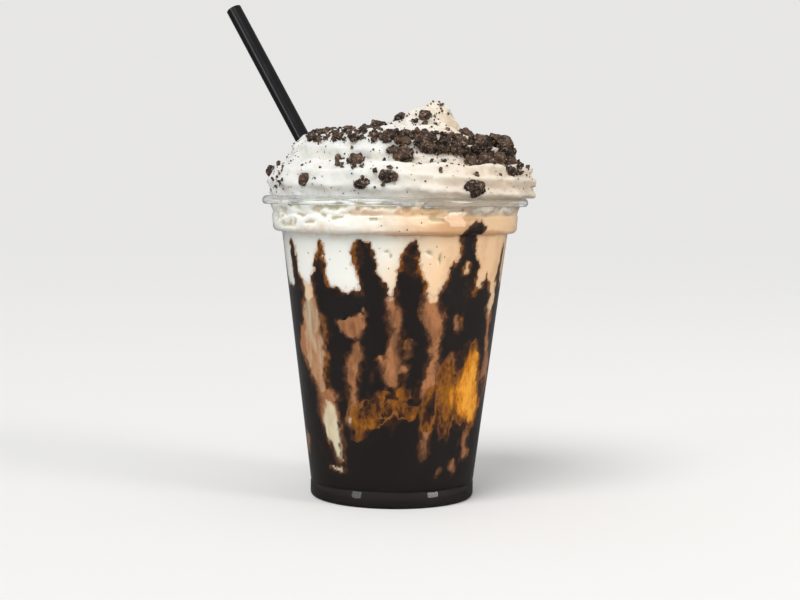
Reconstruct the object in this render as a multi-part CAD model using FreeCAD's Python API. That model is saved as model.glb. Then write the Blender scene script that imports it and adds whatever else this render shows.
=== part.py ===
"""Cookies and cream milkshake in a clear drinking cup.

The cup is a thin-walled thermoformed tumbler with a rolled rim, a stacking band under it and a foot ring.
It holds a layer of chocolate sauce, the shake, and whipped cream that is piped over the rim as a leaning
swirl.  A straw leans through the cream, and pieces of chocolate cookie are pressed into the swirl.

Millimetres, +Z up.  The origin is the centre of the foot on the table, and the front is toward -Y.
"""
import FreeCAD, Part
import math
import os
import random

Vector = FreeCAD.Vector

# --- Cup: outer sizes of the formed sheet ---------------------------------------------------------------
CUP_HEIGHT = 111.0
CUP_WALL = 0.5
RIM_RADIUS = 49.0            # outside of the rolled rim
RIM_OVERHANG = 2.8           # how far the roll stands out from the neck
RIM_DEPTH = 2.6              # height of the roll
RIM_ROUNDING = 1.2
NECK_ROUNDING = 1.5
NECK_TAPER = 1.3             # how much narrower the neck is at its foot
LEDGE_DEPTH = 6.6            # from the rim's top down to the ledge between the neck and the stacking band
LEDGE_STEP = 0.4
BAND_DEPTH = 12.9            # from the rim's top down to the step under the stacking band
BAND_TAPER = 0.4
BAND_ROUNDING = 2.0
BAND_STEP = 3.25             # how far the body's top lies inside the foot of the band
STEP_ROUNDING = 0.6
FOOT_RADIUS = 30.3           # body at the groove over the foot
GROOVE_HEIGHT = 6.1
GROOVE_HALF = 0.6            # half the groove's height
GROOVE_DEPTH = 0.35
FOOT_ROUNDING = 1.5
FOOT_WIDTH = 3.9             # from the foot's outside to the side of the raised floor
FLOOR_RISE = 3.6             # underside of the raised floor above the table
FLOOR_ROUNDING = 0.9

# --- Drink -----------------------------------------------------------------------------------------------
SAUCE_LEVEL = 27.0           # top of the settled sauce above the table
CREAM_DEPTH = 27.0           # from the rim's top down to the shake

# --- Straw -----------------------------------------------------------------------------------------------
STRAW_DIAMETER = 5.8
STRAW_WALL = 0.3
STRAW_ACROSS = -23.1         # where its axis crosses the rim's level: across from the cup's axis
STRAW_BACK = 6.7             # and back from the cup's axis
STRAW_ABOVE = 70.6           # height of its open end above the rim
STRAW_DIP = 2.7              # depth of its lower end's middle under the top of the sauce
STRAW_END_BEARING = 330.2    # bearing of its lower end about the cup's axis, in degrees
STRAW_WALL_GAP = 0.3         # between its lower end and the cup's inside

# --- Piped swirl -----------------------------------------------------------------------------------------
SWIRL_INSET = 8.8            # middle of the lowest turn, in from the rim's outside
# The rope of cream after so many turns: distance from the swirl's own axis as a share of the lowest turn's,
# height above the rim, and half thickness.  Whole turns are at the right (+X), and quarter turns follow at
# the back, the left and the front.
ROPE_STATIONS = (
    (0.00, 0.970, 1.5, 5.0),
    (0.22, 0.995, 3.6, 8.8),
    (0.50, 1.000, 4.4, 9.0),
    (0.78, 0.985, 4.0, 9.2),
    (1.02, 0.993, 4.2, 8.9),
    (1.25, 0.933, 8.5, 8.6),
    (1.50, 0.910, 16.2, 7.6),
    (1.76, 0.771, 13.2, 8.7),
    (2.00, 0.736, 13.0, 8.2),
    (2.25, 0.560, 15.0, 8.0),
    (2.50, 0.378, 18.6, 7.6),
    (2.75, 0.348, 18.0, 7.4),
    (3.00, 0.323, 17.6, 6.6),
    (3.25, 0.200, 19.0, 5.5),
    (3.50, 0.075, 20.5, 3.5),
)
# The mound inside the rope, which ends in the peak: height above the rim, and radius as the same share.
MOUND_STATIONS = (
    (-8.0, 0.920),
    (7.0, 0.846),
    (17.0, 0.597),
    (23.0, 0.410),
    (27.0, 0.300),
    (31.0, 0.194),
    (34.0, 0.085),
    (35.2, 0.025),
)
MOUND_STEEPNESS = 0.75       # cosine of the mound's usual slope
PEAK_LOBES = 7               # folds round the peak
PEAK_LOBE_DEPTH = 0.9
PEAK_LOBE_START = 20.0       # height above the rim at which the folds begin
PEAK_LOBE_RISE = 5.0         # the folds reach their depth within this height
PEAK_LOBE_RADIUS = 6.0       # and are shallower where the mound is thinner than this
PEAK_TWIST = 0.16            # radians that the folds turn for each millimetre of height
SWIRL_SHIFT = 2.5            # the lowest turn lies this far to the right of the cup's axis
SWIRL_LEAN = 12.5            # further shift of the peak
SWIRL_LEAN_START = 7.0       # height above the rim from which the swirl leans
SWIRL_LEAN_POWER = 1.5       # how much the lean grows towards the peak
RIDGE_COUNT = 11             # ridges left by the star nozzle round the rope
RIDGE_DEPTH = 0.5
RIDGE_TWIST = 1.6            # turns of the ridges round the rope for each turn of the swirl
CREASE = 0.7                 # softness of the creases between turns
# The rope isn't quite even.  Each wave (amount, rate, phase) is added to one of its sizes.
RADIUS_WAVES = ((0.35, 2.3, 0.6), (0.2, 5.1, 0.0))
HEIGHT_WAVES = ((0.3, 1.7, 2.0), (0.2, 4.3, 1.0))
HALF_WAVES = ((0.25, 3.7, 0.4),)
LEAST_HALF = 0.5             # half thickness at which the rope ends
SWIRL_AROUND = 84            # control points round the swirl
SWIRL_UP = 84                # control points from the rim to the peak
LOWEST_ELEVATION = 3.0       # degrees over the mound's foot of the lowest row of control points
HIGHEST_ELEVATION = 88.6     # and of the highest
SEARCH_STEP = 0.5            # step of the search for the swirl's skin
SEARCH_HALVINGS = 14
PATCHES_AROUND = 12          # the swirl's skin is made of this many patches round the swirl
PATCHES_UP = 7               # and this many from the rim to the peak

# --- Cookie pieces ---------------------------------------------------------------------------------------
COOKIE_DEPTH = 0.08          # share of a piece's thickness by which its middle lies under the surface
COOKIE_UNEVENNESS = (0.9, 1.15)   # least and most distance of a piece's corner from its middle, as a share
# Pieces pressed into the side: bearing about the swirl's axis in degrees, height above the rim, then the
# piece's width, height and thickness.
COOKIES_SIDE = (
    (300.0, 3.4, 10.4, 6.6, 6.4),
    (253.0, 4.4, 6.2, 3.8, 4.2),
    (264.0, 7.2, 7.2, 5.4, 4.6),
    (225.0, 5.8, 4.8, 5.2, 4.4),
    (247.0, 12.4, 6.6, 5.4, 4.8),
    (268.0, 14.8, 7.6, 7.0, 6.4),
    (264.0, 21.2, 6.4, 5.4, 5.6),
    (278.0, 19.4, 5.6, 7.2, 5.4),
    (287.0, 17.4, 5.4, 5.0, 5.0),
    (297.0, 16.8, 7.6, 4.8, 5.2),
    (312.0, 18.6, 7.8, 8.0, 6.6),
    (318.0, 13.6, 5.0, 4.4, 4.4),
    (264.0, 29.6, 6.0, 4.6, 4.4),
    (342.0, 13.8, 6.2, 6.0, 5.4),
)
# Pieces laid on top: bearing about the lowest turn's axis, distance from it as a share of that turn's radius,
# then the piece's width, depth and height.
COOKIES_TOP = (
    (168.7, 0.25, 6.0, 5.6, 7.0),
    (245.8, 0.05, 5.8, 5.0, 5.6),
    (349.7, 0.56, 8.0, 6.4, 6.4),
    (352.2, 0.73, 6.8, 6.6, 7.2),
    (340.3, 0.89, 6.8, 6.4, 7.2),
    (352.4, 0.94, 6.6, 7.0, 7.6),
    (228.7, 0.30, 6.8, 5.6, 5.0),
    (240.6, 0.68, 6.2, 5.6, 5.2),
    (225.7, 0.69, 6.4, 5.4, 5.0),
    (208.8, 0.72, 5.8, 5.2, 4.6),
    (196.0, 0.81, 5.0, 4.8, 4.0),
    (183.6, 1.19, 4.8, 5.0, 4.8),
    (137.6, 0.96, 6.4, 5.2, 5.0),
    (79.9, 0.78, 7.4, 6.0, 5.0),
    (36.0, 0.85, 6.2, 6.4, 5.4),
    (40.3, 0.54, 5.6, 5.2, 5.0),
    (104.0, 0.46, 5.8, 5.0, 4.6),
    (9.6, 0.90, 6.2, 5.6, 5.4),
)

CUT_MARGIN = 5.0             # how far cutting bodies reach past what they cut

# --- Sizes that follow from the ones above ---------------------------------------------------------------
NECK_RADIUS = RIM_RADIUS - RIM_OVERHANG
LEDGE_HEIGHT = CUP_HEIGHT - LEDGE_DEPTH
LEDGE_RADIUS = NECK_RADIUS - NECK_TAPER
BAND_BOTTOM = CUP_HEIGHT - BAND_DEPTH
BAND_RADIUS = LEDGE_RADIUS + LEDGE_STEP - BAND_TAPER     # at the foot of the band
BODY_RADIUS = BAND_RADIUS - BAND_STEP                    # at the top of the body
SHAKE_LEVEL = CUP_HEIGHT - CREAM_DEPTH
SWIRL_RADIUS = RIM_RADIUS - SWIRL_INSET
SWIRL_TOP = MOUND_STATIONS[-1][0]


# --- Outlines in the half plane (radius, height) ---------------------------------------------------------

def unit(dr, dz):
    """The direction (dr, dz) at length one."""
    length = math.hypot(dr, dz)
    return dr / length, dz / length


def corner_tangent(before, corner, after):
    """Directions to both neighbours of a corner, and the tangent of half its turn."""
    back = unit(before[0] - corner[0], before[1] - corner[1])
    ahead = unit(after[0] - corner[0], after[1] - corner[1])
    inner_angle = math.acos(max(-1.0, min(1.0, back[0] * ahead[0] + back[1] * ahead[1])))
    return back, ahead, math.tan((math.pi - inner_angle) / 2.0)


def outline_edges(corners):
    """Edges of an outline of (radius, height, rounding) corners, with a tangent arc at each rounding."""
    def at(radius, height):
        return Vector(radius, 0, height)

    edges = []
    here = corners[0][:2]
    for before, corner, after in zip(corners, corners[1:], corners[2:]):
        rounding = corner[2]
        back, ahead, half_tan = corner_tangent(before, corner, after)
        if rounding <= 0.0 or half_tan < 1e-6:
            edges.append(Part.LineSegment(at(*here), at(*corner[:2])).toShape())
            here = corner[:2]
            continue
        trim = rounding * half_tan
        start = (corner[0] + back[0] * trim, corner[1] + back[1] * trim)
        end = (corner[0] + ahead[0] * trim, corner[1] + ahead[1] * trim)
        inward = unit(back[0] + ahead[0], back[1] + ahead[1])
        to_middle = math.hypot(trim, rounding) - rounding
        middle = (corner[0] + inward[0] * to_middle, corner[1] + inward[1] * to_middle)
        if math.dist(here, start) > 1e-6:
            edges.append(Part.LineSegment(at(*here), at(*start)).toShape())
        edges.append(Part.Arc(at(*start), at(*middle), at(*end)).toShape())
        here = end
    edges.append(Part.LineSegment(at(*here), at(*corners[-1][:2])).toShape())
    return edges


def moved_inward(corners, distance):
    """An outline that runs down the outside, moved by distance to its right: into the cup."""
    moved = []
    last = len(corners) - 1
    for index, (radius, height, rounding) in enumerate(corners):
        before = corners[max(index - 1, 0)]
        after = corners[min(index + 1, last)]
        arriving = unit(radius - before[0], height - before[1]) if index > 0 else None
        leaving = unit(after[0] - radius, after[1] - height) if index < last else None
        arriving = arriving or leaving
        leaving = leaving or arriving
        right = (arriving[1] + leaving[1], -arriving[0] - leaving[0])
        scale = distance / (1.0 + arriving[0] * leaving[0] + arriving[1] * leaving[1])
        turn = arriving[0] * leaving[1] - arriving[1] * leaving[0]
        new_rounding = max(rounding + math.copysign(distance, turn), 0.0) if rounding > 0.0 else 0.0
        moved.append((radius + right[0] * scale, height + right[1] * scale, new_rounding))
    return moved


def revolved(edges):
    """The solid that a closed outline sweeps round the Z axis."""
    face = Part.Face(Part.Wire(Part.__sortEdges__(edges)))
    return face.revolve(Vector(0, 0, 0), Vector(0, 0, 1), 360)


# --- Cup -------------------------------------------------------------------------------------------------

def cup_outside():
    """Corners of the formed sheet's outside, from the rim down and in to the axis."""
    inner_foot = FOOT_RADIUS - FOOT_WIDTH
    return [
        (NECK_RADIUS, CUP_HEIGHT, 0.0),
        (NECK_RADIUS, CUP_HEIGHT - RIM_DEPTH, NECK_ROUNDING),
        (LEDGE_RADIUS, LEDGE_HEIGHT + LEDGE_STEP, 0.0),
        (LEDGE_RADIUS + LEDGE_STEP, LEDGE_HEIGHT, 0.0),
        (BAND_RADIUS, BAND_BOTTOM, BAND_ROUNDING),
        (BODY_RADIUS, BAND_BOTTOM, STEP_ROUNDING),
        (FOOT_RADIUS, GROOVE_HEIGHT + GROOVE_HALF, 0.0),
        (FOOT_RADIUS - GROOVE_DEPTH, GROOVE_HEIGHT, 0.0),
        (FOOT_RADIUS, GROOVE_HEIGHT - GROOVE_HALF, 0.0),
        (FOOT_RADIUS, 0.0, FOOT_ROUNDING),
        (inner_foot, 0.0, FLOOR_ROUNDING),
        (inner_foot, FLOOR_RISE, FLOOR_ROUNDING),
        (0.0, FLOOR_RISE, 0.0),
    ]


def cup_inside():
    """Corners of the sheet's inside: the outside moved in by the wall, ending on the axis."""
    corners = moved_inward(cup_outside(), CUP_WALL)
    corners[-1] = (0.0, corners[-1][1], 0.0)
    return corners


def closed(outer, inner):
    """Edges round the area between two open outlines that start and end side by side."""
    def joint(first, second):
        return Part.LineSegment(Vector(first[0], 0, first[1]), Vector(second[0], 0, second[1])).toShape()

    joints = [joint(outer[0], inner[0]), joint(outer[-1], inner[-1])]
    return outline_edges(outer) + outline_edges(inner) + joints


def rolled_rim():
    """The rolled edge: a ring of rounded section flush with the cup's inside."""
    inner = NECK_RADIUS - CUP_WALL
    low = CUP_HEIGHT - RIM_DEPTH
    middle = CUP_HEIGHT - RIM_DEPTH / 2.0
    section = [
        (inner, middle, 0.0),
        (inner, CUP_HEIGHT, RIM_ROUNDING / 2.0),
        (RIM_RADIUS, CUP_HEIGHT, RIM_ROUNDING),
        (RIM_RADIUS, low, RIM_ROUNDING),
        (inner, low, 0.0),
        (inner, middle, 0.0),
    ]
    return revolved(outline_edges(section))


def make_cup():
    """The whole cup: the formed sheet with its rolled rim."""
    sheet = revolved(closed(cup_outside(), cup_inside()))
    sheet = sheet.cut(slab(CUP_HEIGHT - RIM_DEPTH / 2.0, CUP_HEIGHT + CUT_MARGIN))
    return sheet.fuse(rolled_rim()).removeSplitter()


def slab(low, high):
    """A wide disc between two heights."""
    return Part.makeCylinder(2.0 * RIM_RADIUS, high - low, Vector(0, 0, low))


def cup_space():
    """All the space inside the cup, up to the rim."""
    inside = cup_inside()
    top = inside[0]
    axis_edges = [
        Part.LineSegment(Vector(0, 0, top[1]), Vector(top[0], 0, top[1])).toShape(),
        Part.LineSegment(Vector(0, 0, inside[-1][1]), Vector(0, 0, top[1])).toShape(),
    ]
    return revolved(outline_edges(inside) + axis_edges)


def cup_radius_at(height):
    """Inside radius of the cup's tapered body at a height."""
    run = (height - GROOVE_HEIGHT - GROOVE_HALF) / (BAND_BOTTOM - GROOVE_HEIGHT - GROOVE_HALF)
    return FOOT_RADIUS + (BODY_RADIUS - FOOT_RADIUS) * run - CUP_WALL


# --- Straw -----------------------------------------------------------------------------------------------

def straw_ends():
    """Centres of the straw's lower end, which lies by the cup's inside, and of its open end."""
    at_rim = Vector(STRAW_ACROSS, STRAW_BACK, CUP_HEIGHT)
    bearing = math.radians(STRAW_END_BEARING)
    low = SAUCE_LEVEL - STRAW_DIP
    reach_of_edge = STRAW_DIAMETER / 2.0
    for _ in range(10):
        radius = cup_radius_at(low) - STRAW_WALL_GAP - reach_of_edge
        tip = Vector(radius * math.cos(bearing), radius * math.sin(bearing), low)
        along = (at_rim - tip).normalize()
        reach_of_edge = STRAW_DIAMETER / 2.0 * along.z
    return tip, at_rim + along * (STRAW_ABOVE / along.z)


def straw_rod(diameter, beyond=0.0):
    """A round rod along the straw, reaching past both ends by beyond."""
    tip, top = straw_ends()
    along = (top - tip).normalize()
    length = (top - tip).Length + 2.0 * beyond
    return Part.makeCylinder(diameter / 2.0, length, tip - along * beyond, along)


def make_straw():
    """The open tube."""
    return straw_rod(STRAW_DIAMETER).cut(straw_rod(STRAW_DIAMETER - 2.0 * STRAW_WALL, CUT_MARGIN))


# --- Whipped cream ---------------------------------------------------------------------------------------

def waves(table, turn):
    """The rope's unevenness after so many turns."""
    gone_round = 2.0 * math.pi * turn
    return sum(amount * math.sin(rate * gone_round + phase) for amount, rate, phase in table)


def rope_at(turn):
    """Distance from the swirl's axis, height over the rim and half thickness of the rope at a turn."""
    stations = ROPE_STATIONS
    index = 0
    while index < len(stations) - 2 and stations[index + 1][0] < turn:
        index += 1
    before, first, second, after = (stations[min(max(index + step, 0), len(stations) - 1)]
                                    for step in (-1, 0, 1, 2))
    share = (turn - first[0]) / (second[0] - first[0])

    def between(column):
        p0, p1, p2, p3 = before[column], first[column], second[column], after[column]
        curve = 2 * p0 - 5 * p1 + 4 * p2 - p3
        bend = 3 * p1 - 3 * p2 + p3 - p0
        return 0.5 * (2 * p1 + (p2 - p0) * share + curve * share ** 2 + bend * share ** 3)

    radius = SWIRL_RADIUS * between(1) + waves(RADIUS_WAVES, turn)
    height = between(2) + waves(HEIGHT_WAVES, turn)
    half = between(3) + waves(HALF_WAVES, turn)
    return radius, height, max(half, LEAST_HALF)


def mound_distance(angle, radius, height):
    """Rough distance to the mound inside the rope, whose upper part is folded."""
    top, top_share = MOUND_STATIONS[-1]
    if height >= top:
        return math.hypot(max(radius - SWIRL_RADIUS * top_share, 0.0), height - top)
    index = 0
    while index < len(MOUND_STATIONS) - 2 and MOUND_STATIONS[index + 1][0] < height:
        index += 1
    low, high = MOUND_STATIONS[index], MOUND_STATIONS[index + 1]
    share = low[1] + (high[1] - low[1]) * (height - low[0]) / (high[0] - low[0])
    mound_radius = SWIRL_RADIUS * share
    above = height - PEAK_LOBE_START
    if above > 0.0:
        depth = PEAK_LOBE_DEPTH * min(above / PEAK_LOBE_RISE, 1.0) * min(mound_radius / PEAK_LOBE_RADIUS, 1.0)
        mound_radius += depth * math.cos(PEAK_LOBES * (angle + PEAK_TWIST * above))
    return MOUND_STEEPNESS * (radius - mound_radius)


def swirl_distance(angle, radius, height):
    """Rough distance from a point to the upright swirl's surface, negative inside; height is over the rim."""
    first_turn = angle / (2.0 * math.pi) % 1.0
    distances = [mound_distance(angle, radius, height)]
    for lap in range(4):
        turn = first_turn + lap
        if turn > ROPE_STATIONS[-1][0]:
            break
        rope_radius, rope_height, half = rope_at(turn)
        away = (radius - rope_radius, height - rope_height)
        around = math.atan2(away[1], away[0])
        ridge = RIDGE_DEPTH * math.cos(RIDGE_COUNT * around + 2.0 * math.pi * RIDGE_TWIST * turn)
        distances.append(math.hypot(*away) - half - ridge)
    nearest = min(distances)
    blend = sum(math.exp((nearest - distance) / CREASE) for distance in distances)
    return nearest - CREASE * math.log(blend)


def lean_at(height):
    """How far the swirl is shifted to the right at a height above the rim."""
    share = max(height - SWIRL_LEAN_START, 0.0) / (SWIRL_TOP - SWIRL_LEAN_START)
    return SWIRL_SHIFT + SWIRL_LEAN * share ** SWIRL_LEAN_POWER


def swirl_point(angle, radius, height):
    """The point in space of a point of the upright swirl."""
    return Vector(lean_at(height) + radius * math.cos(angle), radius * math.sin(angle), CUP_HEIGHT + height)


def cream_distance(point):
    """Rough distance from a point in space to the leaning swirl's surface, negative inside."""
    height = point.z - CUP_HEIGHT
    across = point.x - lean_at(height)
    return swirl_distance(math.atan2(point.y, across), math.hypot(across, point.y), height)


def swirl_radius(angle, elevation):
    """Distance from the mound's foot to the upright swirl's surface in one direction."""
    rise, reach = math.sin(elevation), math.cos(elevation)
    foot = MOUND_STATIONS[0][0]
    far = 2.0 * SWIRL_RADIUS
    while swirl_distance(angle, far * reach, foot + far * rise) > 0.0:
        far -= SEARCH_STEP
    near = far + SEARCH_STEP
    for _ in range(SEARCH_HALVINGS):
        middle = (far + near) / 2.0
        if swirl_distance(angle, middle * reach, foot + middle * rise) > 0.0:
            near = middle
        else:
            far = middle
    return far


def swirl_poles():
    """Control points of the swirl: rows from inside the cup up to the small flat at the peak."""
    lowest, highest = math.radians(LOWEST_ELEVATION), math.radians(HIGHEST_ELEVATION)
    foot, foot_share = MOUND_STATIONS[0]
    top, top_share = MOUND_STATIONS[-1]
    angles = [2.0 * math.pi * step / SWIRL_AROUND for step in range(SWIRL_AROUND)]
    columns = []
    for angle in angles:
        column = [(foot_share * SWIRL_RADIUS, foot)]
        for row in range(SWIRL_UP):
            elevation = lowest + (highest - lowest) * row / (SWIRL_UP - 1)
            reach = swirl_radius(angle, elevation)
            column.append((reach * math.cos(elevation), foot + reach * math.sin(elevation)))
        column.append((top_share * SWIRL_RADIUS / 2.0, top))
        columns.append([swirl_point(angle, radius, height) for radius, height in column])
    return columns


def swirl_surface():
    """The swirl's skin as one smooth surface, closed round the swirl."""
    poles = swirl_poles()
    around, up = len(poles), len(poles[0])
    surface = Part.BSplineSurface()
    surface.buildFromPolesMultsKnots(
        poles,
        [1] * (around + 1), [4] + [1] * (up - 4) + [4],
        [float(knot) for knot in range(around + 1)], [float(knot) for knot in range(up - 2)],
        True, False, 3, 3)
    surface.setUNotPeriodic()
    return surface


def make_swirl():
    """The part of the cream over the rim, resting on the rim's top."""
    surface = swirl_surface()
    around_start, around_end, up_start, up_end = surface.bounds()
    around_step = (around_end - around_start) / PATCHES_AROUND
    up_step = (up_end - up_start) / PATCHES_UP
    patches = []
    for column in range(PATCHES_AROUND):
        for row in range(PATCHES_UP):
            patch = surface.copy()
            patch.segment(around_start + column * around_step, around_start + (column + 1) * around_step,
                          up_start + row * up_step, up_start + (row + 1) * up_step)
            patches.append(patch.toShape())
    skin = Part.Shell(patches)
    skin.sewShape()
    low, high = skin.BoundBox.ZMin, skin.BoundBox.ZMax
    for level in (low, high):
        ring = [edge for patch in patches for edge in patch.Edges
                if edge.BoundBox.ZLength < 1e-4 and abs(edge.BoundBox.ZMin - level) < 0.01]
        patches.append(Part.Face(Part.Wire(Part.__sortEdges__(ring))))
    shell = Part.Shell(patches)
    shell.sewShape()
    solid = Part.Solid(shell)
    if solid.Volume < 0.0:
        solid.reverse()
    return solid.cut(slab(low - CUT_MARGIN, CUP_HEIGHT))


# --- Cookie pieces ---------------------------------------------------------------------------------------

def icosahedron():
    """The twelve directions and twenty triangles of an icosahedron."""
    golden = (1.0 + math.sqrt(5.0)) / 2.0
    points = []
    for first in (-1.0, 1.0):
        for second in (-golden, golden):
            points += [(0.0, first, second), (first, second, 0.0), (second, 0.0, first)]
    triangles = []
    for a in range(12):
        for b in range(a + 1, 12):
            for c in range(b + 1, 12):
                sides = (math.dist(points[a], points[b]), math.dist(points[b], points[c]),
                         math.dist(points[a], points[c]))
                if max(sides) < 1.05 * 2.0:          # the icosahedron's sides are 2 long
                    triangles.append((a, b, c))
    return [Vector(*point).normalize() for point in points], triangles


def broken_piece(width, depth, height, centre, number):
    """An irregular faceted piece of cookie of about the given size."""
    chance = random.Random(number)
    directions, triangles = icosahedron()
    spin = FreeCAD.Rotation(chance.uniform(0, 360), chance.uniform(0, 360), chance.uniform(0, 360))
    points = []
    for direction in directions:
        turned = spin.multVec(direction) * (chance.uniform(*COOKIE_UNEVENNESS) / 2.0)
        points.append(centre + Vector(turned.x * width, turned.y * depth, turned.z * height))
    faces = []
    for a, b, c in triangles:
        faces.append(Part.Face(Part.makePolygon([points[a], points[b], points[c], points[a]])))
    solid = Part.Solid(Part.Shell(faces))
    if solid.Volume < 0.0:
        solid.reverse()
    return solid


def surface_point(start, direction):
    """Where a line from start along direction first meets the swirl."""
    point = Vector(start)
    while cream_distance(point) > 0.0:
        point = point + direction * (SEARCH_STEP / 2.0)
    return point


def cookie_pieces():
    """Every piece of cookie: those pressed into the side, then those laid on top."""
    pieces = []
    for bearing, height, wide, tall, thick in COOKIES_SIDE:
        angle = math.radians(bearing)
        inward = Vector(-math.cos(angle), -math.sin(angle), 0)
        centre = surface_point(swirl_point(angle, 2.0 * SWIRL_RADIUS, height), inward)
        centre += inward * (COOKIE_DEPTH * thick)
        pieces.append(broken_piece(wide, thick, tall, centre, len(pieces) + 1))
    down = Vector(0, 0, -1)
    for bearing, share, wide, deep, tall in COOKIES_TOP:
        start = swirl_point(math.radians(bearing), share * SWIRL_RADIUS, 0.0)
        start.z += SWIRL_TOP + CUT_MARGIN
        centre = surface_point(start, down) + down * (COOKIE_DEPTH * tall)
        pieces.append(broken_piece(wide, deep, tall, centre, len(pieces) + 1))
    return pieces


# --- Everything together ---------------------------------------------------------------------------------

def build():
    """All pieces by node name."""
    cup = make_cup()
    space = cup_space()
    straw = make_straw()
    straw_hole = straw_rod(STRAW_DIAMETER)
    sauce = space.common(slab(-CUT_MARGIN, SAUCE_LEVEL)).cut(straw_hole)
    shake = space.common(slab(SAUCE_LEVEL, SHAKE_LEVEL)).cut(straw_hole)
    cream = space.common(slab(SHAKE_LEVEL, CUP_HEIGHT + CUT_MARGIN))
    cream = cream.fuse(make_swirl()).removeSplitter().cut(straw_hole)

    pieces = []
    for piece in cookie_pieces():
        piece = piece.cut(straw_rod(STRAW_DIAMETER))
        for other in pieces:
            if piece.BoundBox.intersect(other.BoundBox):
                piece = piece.cut(other)
        pieces.append(piece)
        cream = cream.cut(piece)

    nodes = {"cup": cup, "chocolate_sauce": sauce, "milkshake": shake, "whipped_cream": cream, "straw": straw}
    for number, piece in enumerate(pieces, 1):
        nodes[f"cookie_{number:02d}"] = piece
    return nodes


def single_solid(shape):
    """The shape as its one solid."""
    return max(shape.Solids, key=lambda solid: solid.Volume)


os.makedirs("parts", exist_ok=True)
for name, shape in build().items():
    solids = shape.Solids
    print(name, len(solids), "solid(s)", round(shape.Volume, 1), "mm3, valid", shape.isValid())
    single_solid(shape).exportStep(f"parts/{name}.step")
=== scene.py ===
"""Makes a cookies and cream milkshake in a clear cup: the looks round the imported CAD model.

Lengths inside the functions are millimetres, and meshes and properties are in metres.  A bearing is in
degrees about the cup's axis, from the front (-Y) towards the right (+X).
"""
import math
import random

import bpy
import numpy as np
from mathutils import Matrix, Vector
from mathutils.bvhtree import BVHTree


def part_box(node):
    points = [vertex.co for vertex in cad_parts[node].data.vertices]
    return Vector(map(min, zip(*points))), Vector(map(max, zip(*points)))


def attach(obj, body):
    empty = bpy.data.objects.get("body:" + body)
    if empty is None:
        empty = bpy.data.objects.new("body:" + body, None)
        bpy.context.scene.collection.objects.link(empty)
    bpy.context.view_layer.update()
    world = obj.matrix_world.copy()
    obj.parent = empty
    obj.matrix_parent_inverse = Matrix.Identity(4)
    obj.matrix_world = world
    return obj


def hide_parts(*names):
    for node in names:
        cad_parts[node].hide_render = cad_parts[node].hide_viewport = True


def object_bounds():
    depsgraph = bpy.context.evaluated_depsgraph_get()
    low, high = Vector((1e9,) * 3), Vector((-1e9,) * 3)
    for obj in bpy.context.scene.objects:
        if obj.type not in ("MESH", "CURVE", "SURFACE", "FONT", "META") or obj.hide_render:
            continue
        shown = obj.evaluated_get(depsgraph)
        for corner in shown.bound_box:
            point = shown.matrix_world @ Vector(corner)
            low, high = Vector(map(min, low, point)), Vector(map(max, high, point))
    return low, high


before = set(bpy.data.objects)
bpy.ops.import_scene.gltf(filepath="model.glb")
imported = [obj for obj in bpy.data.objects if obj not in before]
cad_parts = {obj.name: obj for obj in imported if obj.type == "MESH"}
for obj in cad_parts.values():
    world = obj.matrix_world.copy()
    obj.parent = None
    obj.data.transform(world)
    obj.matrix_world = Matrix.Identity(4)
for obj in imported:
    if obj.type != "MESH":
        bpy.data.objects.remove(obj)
CAD_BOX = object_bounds()

bl_info = {
    "name": "Cookies and Cream Milkshake",
    "version": (1, 0, 0),
    "blender": (4, 5, 0),
    "location": "View3D > Sidebar > Milkshake",
    "description": "Makes a cookies and cream milkshake in a clear cup with a straw",
    "category": "Add Mesh",
}

MM = 0.001
BOX_GAP = 0.02               # how far inside the CAD model's box each point stays
COOKIE_NODES = sorted(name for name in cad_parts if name.startswith("cookie_"))

# --- Cup sizes that the properties leave alone, in millimetres -------------------------------------------
ROLL_OUTER = 1.65            # radius of the rolled rim's outside
ROLL_END = -55.0             # degrees at which the roll's sheet ends
NECK_ROUNDING = 1.5
NECK_TAPER = 1.3
LEDGE_DEPTH = 6.6
LEDGE_STEP = 0.4
BAND_DEPTH = 12.9
BAND_TAPER = 0.4
BAND_ROUNDING = 2.0
BAND_STEP = 3.25
STEP_ROUNDING = 0.6
GROOVE_HEIGHT = 6.1
GROOVE_HALF = 0.6
GROOVE_DEPTH = 0.35
FOOT_ROUNDING = 1.5
FOOT_WIDTH = 3.9
FLOOR_RISE = 3.6
FLOOR_ROUNDING = 0.9
CUP_AROUND = 288             # faces round the cup
ARC_STEPS = 6                # faces in each rounded corner

# --- Drink -----------------------------------------------------------------------------------------------
SAUCE_LEVEL = 27.0
SHAKE_LEVEL = 84.0
SKIN_AROUND = 400            # faces round the skins that lie on the wall
SKIN_STEP = 0.68             # and their height
SAUCE_SKIN = (10.0, 4.0)     # lowest height of each skin, and how far it ends below the cup's top
SHAKE_SKIN_LOW = 11.0
CREAM_SKIN = (62.0, 0.8)
FOOT_SAUCE = 12.0            # the sauce fills the cup from wall to wall up to here
FOOT_INSET = 0.04            # and reaches this much less far into the wall there
LAP = 0.7                    # how far one filling reaches past the level where the next one starts
SHAKE_LIFT = 0.08            # how far each skin reaches into the wall
CREAM_LIFT = 0.15
SAUCE_LIFT = 0.22
SKIN_BACK = 1.3              # thickness of a film, measured in from the wall
NECK_BACK = 3.4              # thickness of the cream on the neck, where it has hollows
PLUG_INSET = 0.7             # how far the filling inside the films stays from the wall
PLUG_AROUND = 180            # faces round that filling, and their height
PLUG_STEP = 4.0
CRISP = 40.0                 # degrees from which an edge of the sauce or shake stays crisp
SKIN_SINK = 1.1              # how far a film's edge dips under the skin below it
FILM_EDGE = 0.9              # width of that edge
SHAKE_COVER = 0.7            # how far the shake reaches under the sauce and the cream

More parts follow.
